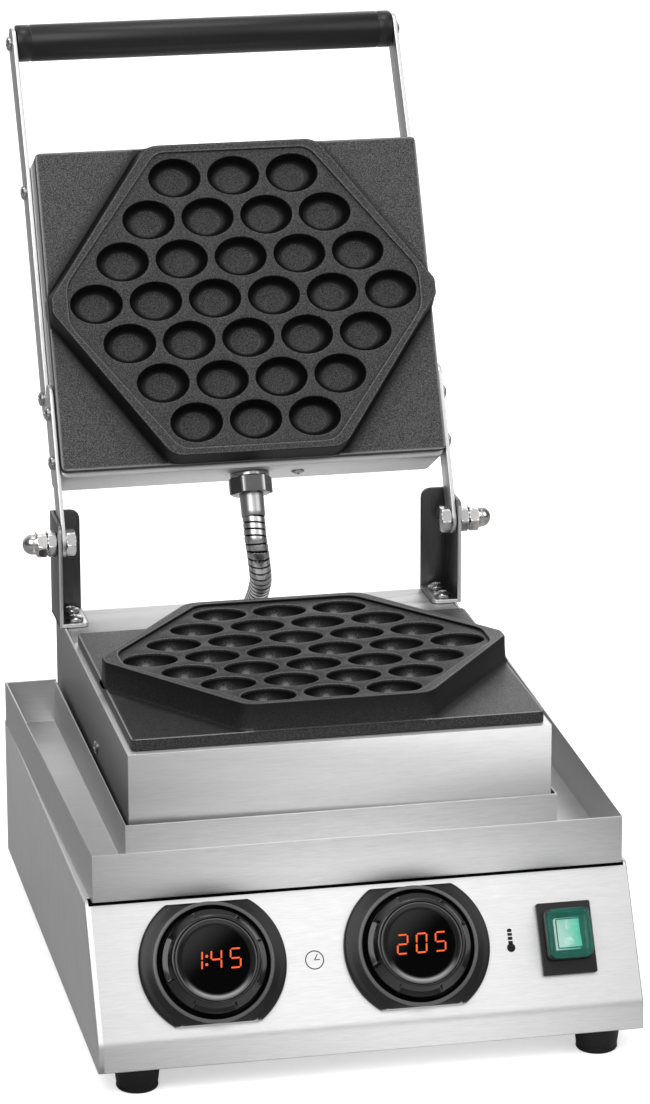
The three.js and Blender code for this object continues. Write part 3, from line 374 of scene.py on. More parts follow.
def printed(outline: np.ndarray, z: float = SEAT) -> Surface:
    """A thin flat mark on a face at height z."""
    return slab(outline, z, z + PRINT_THICKNESS, 0.01)


def stroke(line: Steps, width: float, steps: int = 10) -> np.ndarray:
    """The outline of a flat bar with round ends that follows a line: half circles about both ends,
    joined by the line moved half the width to each side.

    Args:
        line: the points of the bar's middle line.
        width: the bar's width.
        steps: how many pieces each half circle has.

    Returns:
        The outline, anticlockwise.
    """
    points = np.asarray(line, float)
    along = np.diff(points, axis=0)
    angle = np.arctan2(along[:, 1], along[:, 0])
    arc = np.linspace(-np.pi / 2, np.pi / 2, steps + 1)

    def beside(i: int, angles: np.ndarray | float) -> np.ndarray:
        """Points at half the width from one of the line's points."""
        return points[i] + width / 2 * on_circle(np.atleast_1d(angles))

    inner = range(1, len(points) - 1)
    parts = [beside(-1, angle[-1] + arc)]
    parts += [beside(i, (angle[i] + angle[i - 1]) / 2 + np.pi / 2) for i in reversed(inner)]
    parts.append(beside(0, angle[0] + np.pi + arc))
    parts += [beside(i, (angle[i] + angle[i - 1]) / 2 - np.pi / 2) for i in inner]
    return np.vstack(parts)


def hexagon_nut(across: float, height: float, bore: float, chamfer: float = 0.55) -> Surface:
    """A hexagon nut about Z, from zero up.

    The outside's radius at angle a is the smaller of the hexagon's, flat / cos(a mod 60 - 30), and
    a cone's, which takes off the corners near both ends.

    Args:
        across: its width across flats.
        height: its height.
        bore: the hole's diameter.
        chamfer: how far each cone reaches along Z.

    Returns:
        The surface.
    """
    angle = np.radians(np.arange(0, 360, 4.0) + 30)
    flat = across / 2
    hexagon = flat / np.cos((angle + np.pi / 6) % (np.pi / 3) - np.pi / 6)
    corner = flat / math.cos(math.pi / 6)
    z = np.array([0, chamfer / 2, chamfer, height - chamfer, height - chamfer / 2, height])
    distance = np.minimum(z, height - z)
    cone = np.minimum(corner + 0.1, flat + (corner - flat) * distance / chamfer * 1.05)
    hole = np.full(len(angle), bore / 2)
    radius = np.vstack([hole, np.minimum(hexagon[None, :], cone[:, None]), hole])
    z = np.concatenate([[0], z, [height]])
    return woven(spun(radius, z[:, None], angle), close_rows=True)


def screw_head(radius: float = 4.0, height: float = 2.6, seat: float = SEAT,
               shank: float = 4.0) -> Surface:
    """A domed screw head with a cross recess, on a short shank that goes down from zero.

    The dome's height at radius r is height sqrt(1 - (r / R)^2 / 1.25), and the cross takes 0.9 mm
    off it where |x| or |y| is under half a millimetre.

    Args:
        radius: the head's radius, R above.
        height: how high the dome would stand at its middle without the cross.
        seat: the height at which the head sits.
        shank: how far the shank goes down.

    Returns:
        The surface.
    """
    rings = np.concatenate([[1.0, 1.0], np.linspace(0.97, 0.0, 16)]) * radius
    dome = seat + height * np.sqrt(1 - (rings / radius) ** 2 / 1.25)
    dome[0] = seat
    points = spun(rings[:, None], dome[:, None], even_angles(64))
    x, y = points[..., 0], points[..., 1]
    narrow = 1 - smooth_step(np.minimum(np.abs(x), np.abs(y)), 0.35, 0.6)
    points[..., 2] -= 0.9 * (narrow * (1 - smooth_step(np.hypot(x, y), 1.9, 2.3)))
    return woven(points) + turned([[0, -shank], [2, -shank], [2, seat], [radius, seat]])


# Materials


def colour(tone: Tone) -> tuple[float, float, float, float]:
    """A linear colour with full alpha, from three values or from one grey."""
    return (*tone, 1.0) if isinstance(tone, tuple) else (tone, tone, tone, 1.0)


class Tree:
    """A node tree with short ways to add and join nodes."""

    def __init__(self, tree: bpy.types.NodeTree) -> None:
        """Keeps the tree that the nodes go into."""
        self.tree = tree

    def fill(self, node: bpy.types.Node, inputs: dict) -> None:
        """Sets or links a node's inputs, given by their names or numbers.

        Args:
            node: the node.
            inputs: values or sockets by the input's name or number.
        """
        for name, value in inputs.items():
            if isinstance(value, Socket):
                self.tree.links.new(value, node.inputs[name])
            else:
                node.inputs[name].default_value = value

    def add(self, kind: str, inputs: dict | None = None, **settings: object) -> bpy.types.Node:
        """Adds a node, sets its properties, and fills or links its inputs.

        Args:
            kind: Blender's name of the node's type, after ShaderNode.
            inputs: values or sockets by the input's name or number.
            settings: the node's own properties.

        Returns:
            The new node.
        """
        node = self.tree.nodes.new("ShaderNode" + kind)
        for name, value in settings.items():
            setattr(node, name, value)
        self.fill(node, inputs or {})
        return node

    def math(self, operation: str, a: object, b: object = 0.0, clamp: bool = False) -> Socket:
        """The result of one step of arithmetic."""
        return self.add("Math", {0: a, 1: b}, operation=operation, use_clamp=clamp).outputs[0]

    def times(self, a: object, b: object) -> Socket:
        """The product of a and b."""
        return self.math("MULTIPLY", a, b)

    def weighed(self, a: Socket, share: float, b: Socket) -> Socket:
        """A share of a and the rest of b, added."""
        return self.math("ADD", self.times(a, share), self.times(b, 1 - share))

    def span(self, value: Socket, low: object, high: object, *to: object) -> Socket:
        """A value carried from the span between low and high to another, 0 to 1 if none is given."""
        to_low, to_high = to or (0.0, 1.0)
        return self.add("MapRange", {0: value, 1: low, 2: high, 3: to_low, 4: to_high}).outputs[0]

    def mix(self, share: object, a: object, b: object, **settings: str) -> Socket:
        """A colour between a and b."""
        return self.add("Mix", {0: share, 6: a, 7: b}, data_type="RGBA", **settings).outputs[2]

    def noise(self, place: Socket, scale: object, detail: float, roughness: float = 0.5,
              distortion: float = 0.0) -> Socket:
        """Soft noise over a place."""
        return self.add("TexNoise", {"Vector": place, "Scale": scale, "Detail": detail,
                                     "Roughness": roughness, "Distortion": distortion}).outputs[0]

    def parts(self, vector: Socket) -> tuple[Socket, ...]:
        """A vector's x, y and z."""
        return tuple(self.add("SeparateXYZ", {0: vector}).outputs)

    def own(self, name: str) -> Socket:
        """One of the piece's own places or directions."""
        return self.add("TexCoord").outputs[name]

    def painted(self) -> Socket:
        """The piece's own shade attribute."""
        return self.add("Attribute", attribute_name="shade").outputs["Fac"]

    def bump(self, height: Socket, depth: float) -> Socket:
        """A normal from a height; depth is in millimetres."""
        return self.add("Bump", {"Height": height, "Distance": depth * MM, "Strength": 1.0}).outputs[0]


class Effects:
    """Effects that several finishes share, each one a node group."""

    def __init__(self) -> None:
        """Builds the groups once."""
        self.streaks = self._streaks()
        self.speckle = self._speckle()
        self.patches = self._patches()

    @staticmethod
    def _group(name: str, outputs: list[str], **inputs: object) -> tuple:
        """A new group's tree, its inputs as sockets and its output node.

        Args:
            name: the group's name.
            outputs: the names of its results.
            inputs: the values of its inputs, beside the place: floats or vectors.

        Returns:
            The tree, the sockets by name and the output node.
        """
        group = bpy.data.node_groups.new(name, "ShaderNodeTree")
        for label, value in {"Place": None, **inputs}.items():
            kind = "NodeSocketFloat" if isinstance(value, float) else "NodeSocketVector"
            socket = group.interface.new_socket(label, in_out="INPUT", socket_type=kind)
            if value is not None:
                socket.default_value = value
        for label in outputs:
            group.interface.new_socket(label, in_out="OUTPUT", socket_type="NodeSocketFloat")
        start = group.nodes.new("NodeGroupInput")
        return Tree(group), start.outputs, group.nodes.new("NodeGroupOutput")

    def _streaks(self) -> bpy.types.NodeTree:
        """Fine long streaks of a brushed sheet, and slower bands of light and dark.

        Returns:
            The group, which puts out Fine and Band.
        """
        tree, given, end = self._group("brushed_streaks", ["Fine", "Band"], Stretch=(1, 1, 1),
                                       Fineness=2200.0)
        scaled = tree.add("VectorMath", {0: given["Place"], 1: given["Stretch"]},
                          operation="MULTIPLY").outputs[0]
        fine = tree.noise(scaled, given["Fineness"], 4.0, 0.6)
        wider = tree.noise(scaled, tree.times(given["Fineness"], 0.3), 3.0)
        tree.fill(end, {"Fine": tree.weighed(fine, 0.8, wider),
                        "Band": tree.noise(scaled, 90.0, 3.0)})
        return tree.tree

    def _speckle(self) -> bpy.types.NodeTree:
        """Fine grains of a sprayed coat: a mask of light grains and a height.

        Returns:
            The group, which puts out Grains and Height.
        """
        tree, given, end = self._group("coat_speckle", ["Grains", "Height"], Scale=1400.0)
        fine = tree.noise(given["Place"], given["Scale"], 3.0, 0.7)
        coarse = tree.noise(given["Place"], tree.times(given["Scale"], 0.45), 2.0)
        tree.fill(end, {"Grains": tree.span(fine, 0.42, 0.72),
                        "Height": tree.weighed(fine, 0.6, coarse)})
        return tree.tree

    def _patches(self) -> bpy.types.NodeTree:
        """Large soft patches, such as wiped smudges or uneven heat.

        Returns:
            The group, which puts out Value.
        """
        tree, given, end = self._group("soft_patches", ["Value"], Scale=14.0, Low=0.0, High=1.0)
        noise = tree.noise(given["Place"], given["Scale"], 3.0, distortion=0.4)
        tree.fill(end, {"Value": tree.span(noise, 0.3, 0.7, given["Low"], given["High"])})
        return tree.tree


@dataclass(frozen=True)
class Finish:
    """What all finishes hold.

    Args:
        name: the material's name.
        slot: the record's material slot; not used.
        dark: the colour in the hollows of its pattern.
        light: the colour on the heights of its pattern.
        smooth: the lowest roughness.
        rough: the highest roughness.
        metal: 1 for bare metal, 0 for the rest.
        specular: how much a bare surface mirrors when seen straight on.
        tint: the colour painted where the piece's own shade attribute is 1, if it has one: a
            painted shade, or on some pieces a painted highlight or reflection.
        glint: the colour of the painted highlight where that attribute is -1.
    """

    name: str
    slot: str
    dark: Tone
    light: Tone
    smooth: float = 0.3
    rough: float = 0.4
    metal: float = 0.0
    specular: float = 0.5
    tint: Tone | None = None
    glint: Tone = 0.8

    def build(self, effects: Effects) -> bpy.types.Material:
        """Makes the material.

        Args:
            effects: the shared node groups.

        Returns:
            The material.
        """
        material = bpy.data.materials.new(self.name)
        material.use_nodes = True
        tree = Tree(material.node_tree)
        inputs = {"Metallic": self.metal, "Specular IOR Level": self.specular}
        inputs |= self.pattern(tree, tree.own("Object"), effects)
        tree.fill(material.node_tree.nodes["Principled BSDF"], inputs)
        return material

    def pattern(self, tree: Tree, place: Socket, effects: Effects) -> dict[str, object]:
        """What a finish gives to the shader.

        Args:
            tree: the material's tree.
            place: the place on the piece.
            effects: the shared node groups.

        Returns:
            Values or sockets by the names of the shader's inputs.
        """
        raise NotImplementedError

    def coloured(self, tree: Tree, share: Socket, painted_light: Socket | None = None) -> Socket:
        """The colour.

        Args:
            tree: the material's tree.
            share: from 0, where the colour is dark, to 1, where it is light. Where the piece's shade
                attribute is painted, the colour goes towards tint, a painted shade or highlight,
                or below zero towards the glint, a painted highlight.
            painted_light: what the colour is multiplied by, if anything: painted light and shade.

        Returns:
            The colour's socket.
        """
        result = tree.mix(share, colour(self.dark), colour(self.light))
        # Painted shade and highlights from the piece's shade attribute.
        if self.tint is not None:
            painted = tree.painted()
            result = tree.mix(painted, result, colour(self.tint))
            below = tree.math("MULTIPLY", painted, -1.0, True)
            result = tree.mix(below, result, colour(self.glint))
        return result if painted_light is None else tree.mix(1.0, result, painted_light, blend_type="MULTIPLY")

    def patched(self, tree: Tree, place: Socket, effects: Effects, scale: float = 14.0) -> Socket:
        """A roughness that wanders between smooth and rough in soft patches."""
        inputs = {"Place": place, "Scale": scale, "Low": self.smooth, "High": self.rough}
        return tree.add("Group", inputs, node_tree=effects.patches).outputs[0]


@dataclass(frozen=True)
class BrushedFinish(Finish):
    """Brushed sheet steel: streaks along the grain in its colour, its roughness and its height.

    Args:
        grain: the way that the streaks run.
        fineness: how many streaks there are in a metre, roughly.
        depth: how deep they are, in millimetres.
        fall: how much darker the sheet is at HIGHLIGHT_REACH to the left and right of the machine's
            middle: a painted highlight across the middle.
        sides: how much darker the faces are that look to the left or right: painted shade.
    """

    grain: Grain = Grain.ACROSS
    fineness: float = 2200.0
    depth: float = 0.006
    fall: float = 0.35
    sides: float = 0.0

    def pattern(self, tree: Tree, place: Socket, effects: Effects) -> dict[str, object]:
        """Streaks, with a painted highlight that fades towards the sides and painted shade on side
        faces.

        Args:
            tree: the material's tree.
            place: the place on the piece.
            effects: the shared node groups.

        Returns:
            Colour, roughness and normal.
        """
        inputs = {"Place": place, "Stretch": self.grain.value, "Fineness": self.fineness}
        fine, band = tree.add("Group", inputs, node_tree=effects.streaks).outputs
        # Painted highlight across the machine's middle, and painted shade on faces that look left or
        # right.
        ratio = tree.times(tree.parts(place)[0], 1 / (HIGHLIGHT_REACH * MM))
        away = tree.math("MINIMUM", tree.times(ratio, ratio), 1.0)
        facing = tree.math("ABSOLUTE", tree.parts(tree.own("Normal"))[0])
        centred = tree.math("SUBTRACT", 1.0, tree.times(away, self.fall))
        painted_light = tree.math("SUBTRACT", centred, tree.times(facing, self.sides), True)
        share = tree.span(tree.weighed(fine, 0.88, band), 0.32, 0.68)
        return {"Base Color": self.coloured(tree, share, painted_light),
                "Roughness": tree.span(fine, 0.25, 0.75, self.smooth, self.rough),
                "Normal": tree.bump(fine, self.depth)}


@dataclass(frozen=True)
class CoatedFinish(Finish):
    """A sprayed or moulded skin with fine grains: non-stick coat, rubber, plastic, ceramic.

    Args:
        scale: how many grains there are in a metre, roughly.
        depth: how high they stand, in millimetres.
    """

    scale: float = 1400.0
    depth: float = 0.02

    def pattern(self, tree: Tree, place: Socket, effects: Effects) -> dict[str, object]:
        """Grains, on a sheen that wanders.

        Args:
            tree: the material's tree.
            place: the place on the piece.
            effects: the shared node groups.

        Returns:
            Colour, roughness and normal.
        """
        inputs = {"Place": place, "Scale": self.scale}
        grains, height = tree.add("Group", inputs, node_tree=effects.speckle).outputs
        return {"Base Color": self.coloured(tree, grains),
                "Roughness": self.patched(tree, place, effects),
                "Normal": tree.bump(height, self.depth)}


@dataclass(frozen=True)
class PolishedFinish(Finish):
    """Bright metal with faint wiping marks."""

    def pattern(self, tree: Tree, place: Socket, effects: Effects) -> dict[str, object]:
        """Wiping marks, and a fine unevenness.

        Args:
            tree: the material's tree.
            place: the place on the piece.
            effects: the shared node groups.

        Returns:
            Colour, roughness and normal.
        """
        value = self.patched(tree, place, effects, 60.0)
        share = tree.span(value, self.smooth, self.rough)
        return {"Base Color": self.coloured(tree, share), "Roughness": value,
                "Normal": tree.bump(tree.noise(place, 900.0, 2.0), 0.002)}


@dataclass(frozen=True)
class LitFinish(Finish):
    """Something that glows in patches.

    Args:
        glow: the colour of its light.
        power: how strong the light is.
        opacity: how much of what lies behind it is hidden.
    """

    glow: tuple[float, float, float] = (1.0, 1.0, 1.0)
    power: float = 1.0
    opacity: float = 1.0

    def pattern(self, tree: Tree, place: Socket, effects: Effects) -> dict[str, object]:
        """Patches of weaker and stronger light.

        Args:
            tree: the material's tree.
            place: the place on the piece.
            effects: the shared node groups.

        Returns:
            Colour, roughness, light and opacity.
        """
        value = self.patched(tree, place, effects, 220.0)
        share = tree.span(value, self.smooth, self.rough)
        dim = colour(tuple(part * 0.75 for part in self.glow))
        light = tree.mix(share, dim, colour(self.glow))
        # Where the piece is painted, a painted highlight in its glow.
        if self.tint is not None:
            light = tree.mix(tree.painted(), light, colour(self.tint))
        return {"Base Color": self.coloured(tree, share), "Roughness": value,
                "Emission Color": light, "Emission Strength": self.power, "Alpha": self.opacity}


FINISHES = [
    BrushedFinish("steel_across", "brushed_steel", 0.76, 0.92, 0.42, 0.54, 1.0, fall=0.38),
    # A brighter, less metallic copy of the brushed steel that lights the housing's front; sides=0.7
    # paints shade on its left and right faces.
    BrushedFinish("steel_housing", "brushed_steel", 0.86, 0.98, 0.38, 0.5, 0.72, fall=0.22, sides=0.7),
    # A darker copy of the brushed steel: painted shade on the rear deck under the lamps above and
    # behind.
    BrushedFinish("steel_deck", "brushed_steel", 0.5, 0.62, 0.42, 0.54, 1.0, fall=0.1),
    BrushedFinish("steel_side", "brushed_steel", 0.7, 0.86, 0.4, 0.52, 1.0, grain=Grain.UPRIGHT,
                  fall=0.1),
    BrushedFinish("steel_panel", "brushed_steel", 0.78, 0.92, 0.38, 0.48, 0.97, fall=0.22),
    BrushedFinish("steel_arm", "brushed_steel", 0.62, 0.76, 0.3, 0.42, 1.0, grain=Grain.BACKWARD,
                  fall=0.0),
    BrushedFinish("ferrule_steel", "chrome", 0.42, 0.54, 0.3, 0.4, 1.0, tint=0.004,
                  grain=Grain.UPRIGHT, fineness=3000.0, fall=0.0),
    PolishedFinish("bright_steel", "polished_steel", 0.42, 0.55, 0.08, 0.2, 1.0),
    # Its glint paints the brackets' cut edges bright: a painted highlight.
    BrushedFinish("bracket_steel", "polished_steel", 0.11, 0.16, 0.34, 0.44, 1.0, tint=0.02,
                  grain=Grain.UPRIGHT, fall=0.0),
    PolishedFinish("bright_nickel", "chrome", (0.5, 0.49, 0.48), (0.64, 0.63, 0.62), 0.05, 0.14, 1.0),
    # Its dark painted tone paints shade in the conduit's grooves.
    BrushedFinish("conduit_steel", "chrome", 0.52, 0.64, 0.24, 0.34, 1.0, tint=0.002, fall=0.0),
    # Dark chrome standing in for the dark studio its flats mirror, a painted reflection; its edges are
    # painted brighter as highlights.
    PolishedFinish("gland_chrome", "chrome", 0.08, 0.14, 0.08, 0.16, 1.0, tint=0.95),
    # The coat takes painted shade and painted highlights from each plate's shade attribute.
    CoatedFinish("plate_coat", "cast_plate", 0.022, 0.165, 0.4, 0.52, 0.0, 0.24, 0.001, 0.4,
                 scale=1600.0, depth=0.014),
    CoatedFinish("satin_black", "satin_black", 0.005, 0.012, 0.3, 0.42, 0.0, 0.35, scale=2200.0,
                 depth=0.006),
    # A bright painted tone for the painted highlight on the bezel's lower edge.
    CoatedFinish("bezel_satin", "satin_black", 0.006, 0.014, 0.28, 0.38, 0.0, 0.3, 0.45,
                 scale=2200.0, depth=0.004),
    CoatedFinish("ring_satin", "satin_black", 0.075, 0.12, 0.25, 0.35, 0.0, 0.5, scale=2200.0,
                 depth=0.004),
    CoatedFinish("knob_gloss", "gloss_black", 0.002, 0.006, 0.09, 0.15, 0.0, 0.55, scale=900.0,
                 depth=0.002),
    # Painted reflections on the window: its sheen and the bright arc and line on its rim.
    CoatedFinish("window_gloss", "display_window", 0.0005, 0.001, 0.05, 0.1, 0.0, 0.02, 0.35,
                 scale=500.0, depth=0.0005),
    CoatedFinish("foot_rubber", "foot_rubber", 0.003, 0.009, 0.4, 0.55, 0.0, 0.25, scale=1200.0),
    # Matt black for strips that stand in for shade: a painted shadow in the gap under the tray and in
    # the dials' grooves.
    CoatedFinish("gap_lining", "satin_black", 0.001, 0.003, 0.7, 0.8, 0.0, 0.05, scale=1200.0),
    CoatedFinish("module_plastic", "module_black", 0.02, 0.04, 0.5, 0.65, scale=900.0),
    CoatedFinish("board_green", "board_green", (0.01, 0.09, 0.03), (0.03, 0.16, 0.06), 0.35, 0.5),
    CoatedFinish("terminal_ceramic", "ceramic", (0.6, 0.56, 0.48), (0.78, 0.74, 0.66), 0.3, 0.45),
    CoatedFinish("heater_tube", "heater_steel", (0.08, 0.07, 0.06), (0.2, 0.18, 0.16), 0.4, 0.6, 1.0),
    CoatedFinish("panel_ink", "satin_black", 0.004, 0.012, 0.4, 0.5, 0.0, 0.2, scale=1800.0,
                 depth=0.001),
    LitFinish("figure_glow", "display_window", (0.3, 0.02, 0.0), (0.4, 0.03, 0.0), 0.3, 0.4,
              glow=(1.0, 0.13, 0.015), power=0.95),
    CoatedFinish("frame_green", "lamp_green", (0.002, 0.02, 0.014), (0.003, 0.03, 0.02), 0.25, 0.35,
                 0.0, 0.4, scale=600.0, depth=0.002),
    # Near-white where the rocker is painted: a painted highlight on its glow.
    LitFinish("rocker_glow", "lamp_green", (0.1, 0.5, 0.35), (0.4, 0.85, 0.7), 0.2, 0.3,
              tint=(0.85, 1.0, 0.95), glow=(0.16, 0.95, 0.66), power=1.15),
    LitFinish("mark_white", "lamp_green", 0.8, 0.95, 0.4, 0.5, glow=(0.9, 1.0, 0.95)),
    # The clear cover glows faintly: painted light standing in for the lit rocker's light inside it.
    LitFinish("cover_clear", "cover_green", (0.0, 0.11, 0.075), (0.002, 0.16, 0.11), 0.06, 0.14,
              glow=(0.0, 0.2, 0.13), power=0.1, opacity=0.4),
]


class Workshop:
    """Makes pieces of the machine: meshes with a finish that ride on a body and replace solids."""

    def __init__(self) -> None:
        """Builds every finish."""
        effects = Effects()
        self.finishes = {finish.name: finish for finish in FINISHES}
        self.materials = {finish.name: finish.build(effects) for finish in FINISHES}
        self.used: set[str] = set()

    def _finish(self, piece: bpy.types.Object, finish: str, body: str, nodes: tuple[str, ...]) -> None:
        """Dresses a piece, lets it ride and says what it replaces.

        Args:
            piece: the piece.
            finish: the name of its finish.
            body: the body that it rides on.
            nodes: the nodes that it replaces.
        """
        piece.data.materials.clear()
        piece.data.materials.append(self.materials[finish])
        if nodes:
            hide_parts(*nodes)
            self.used.update(nodes)
        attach(piece, body)
        LOG.info("%s: %d points, %s", piece.name, len(piece.data.vertices), finish)

    def mesh(self, name: str, surface: Surface, floor: float | None = None) -> bpy.types.Object:
        """A mesh object in metres in the shared frame, with doubles merged and faces outward.

        Args:
            name: the piece's name.
            surface: its shape in millimetres, in the machine's places.
            floor: a height below which everything is cut away, leaving the piece open there.

        Returns:
            The object.
        """
        points = (surface.points + (0, PLATE_SHIFT, 0)) * MM
        data = bpy.data.meshes.new(name)
        data.from_pydata(points.tolist(), [], surface.faces)
        data.validate()
        made = bmesh.new()
        made.from_mesh(data)
        bmesh.ops.remove_doubles(made, verts=made.verts, dist=2e-6)
        bmesh.ops.dissolve_degenerate(made, edges=made.edges, dist=1e-7)
        bmesh.ops.recalc_face_normals(made, faces=made.faces)
        if floor is not None:
            parts = made.verts[:] + made.edges[:] + made.faces[:]
            bmesh.ops.bisect_plane(made, geom=parts, plane_co=(0, 0, floor * MM),
                                   plane_no=(0, 0, -1), clear_outer=True)
        made.to_mesh(data)
        made.free()
        data.shade_smooth()
        data.set_sharp_from_angle(angle=math.radians(SHARP_ANGLE))
        piece = bpy.data.objects.new(name, data)
        bpy.context.scene.collection.objects.link(piece)
        return piece

    def shade(self, piece: bpy.types.Object, values: np.ndarray) -> None:
        """Writes a piece's own shade attribute, one value from -1 to 1 for each point."""
        attribute = piece.data.attributes.new("shade", "FLOAT", "POINT")
        attribute.data.foreach_set("value", np.clip(values, -1, 1).astype(np.float32))

    def add(self, name: str, surface: Surface, finish: str, body: str = "base", *nodes: str,
            place: np.ndarray = STILL, shade: Callable[[np.ndarray], np.ndarray] | None = None,
            floor: float | None = None) -> bpy.types.Object:
        """Makes a piece from a surface.

        Args:
            name: the piece's name.
            surface: its shape.
            finish: the name of its finish.
            body: the body that it rides on.
            nodes: the nodes that it replaces.
            place: the matrix that places the surface.
            shade: gives the shade attribute for points in the surface's own places, if any.
            floor: a height below which everything is cut away.

        Returns:
            The piece.
        """
        piece = self.mesh(name, surface.placed(place), floor)
        self._finish(piece, finish, body, nodes)
        if shade is not None:
            points = np.empty(len(piece.data.vertices) * 3)
            piece.data.vertices.foreach_get("co", points)
            points = points.reshape(-1, 3) / MM - (0, PLATE_SHIFT, 0)
            back = np.linalg.inv(place)
            self.shade(piece, shade(points @ back[:3, :3].T + back[:3, 3]))
        return piece

    def thicken(self, piece: bpy.types.Object, thickness: float) -> None:
        """Gives an open sheet a wall of a thickness in millimetres, inwards.

        Args:
            piece: the sheet.
            thickness: the wall's thickness in millimetres.
        """
        wall = piece.modifiers.new("wall", "SOLIDIFY")
        wall.thickness = thickness * MM
        wall.offset = -1.0

    def edged(self, node: str, finish: str, width: float) -> None:
        """Puts a copy of a solid in its place, with its edges rounded by width in millimetres.

        Args:
            node: the solid's node.
            finish: the name of its finish.
            width: how wide the rounded edges are, in millimetres.
        """
        solid = frame["nodes"][node]
        data = solid.data.copy()
        merged = bmesh.new()
        merged.from_mesh(data)
        bmesh.ops.remove_doubles(merged, verts=merged.verts, dist=1e-6)
        merged.to_mesh(data)
        merged.free()
        data.shade_smooth()
        piece = bpy.data.objects.new(node + "_finished", data)
        bpy.context.scene.collection.objects.link(piece)
        bevel = piece.modifiers.new("rounded_edges", "BEVEL")
        bevel.width = width * MM
        bevel.segments = 2
        bevel.limit_method = "ANGLE"
        bevel.angle_limit = math.radians(BEVEL_ANGLE)
        bevel.harden_normals = True
        bevel.use_clamp_overlap = True
        self._finish(piece, finish, solid["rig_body"], (node,))

    def dress(self, finish: str, *nodes: str) -> None:
        """Gives carried-over solids their finish.

        Args:
            finish: the name of the finish.
            nodes: the solids' nodes.
        """
        for node in nodes:
            solid = frame["nodes"][node]
            solid.data.materials.clear()
            solid.data.materials.append(self.materials[finish])
        self.used.update(nodes)


# Sub-assemblies


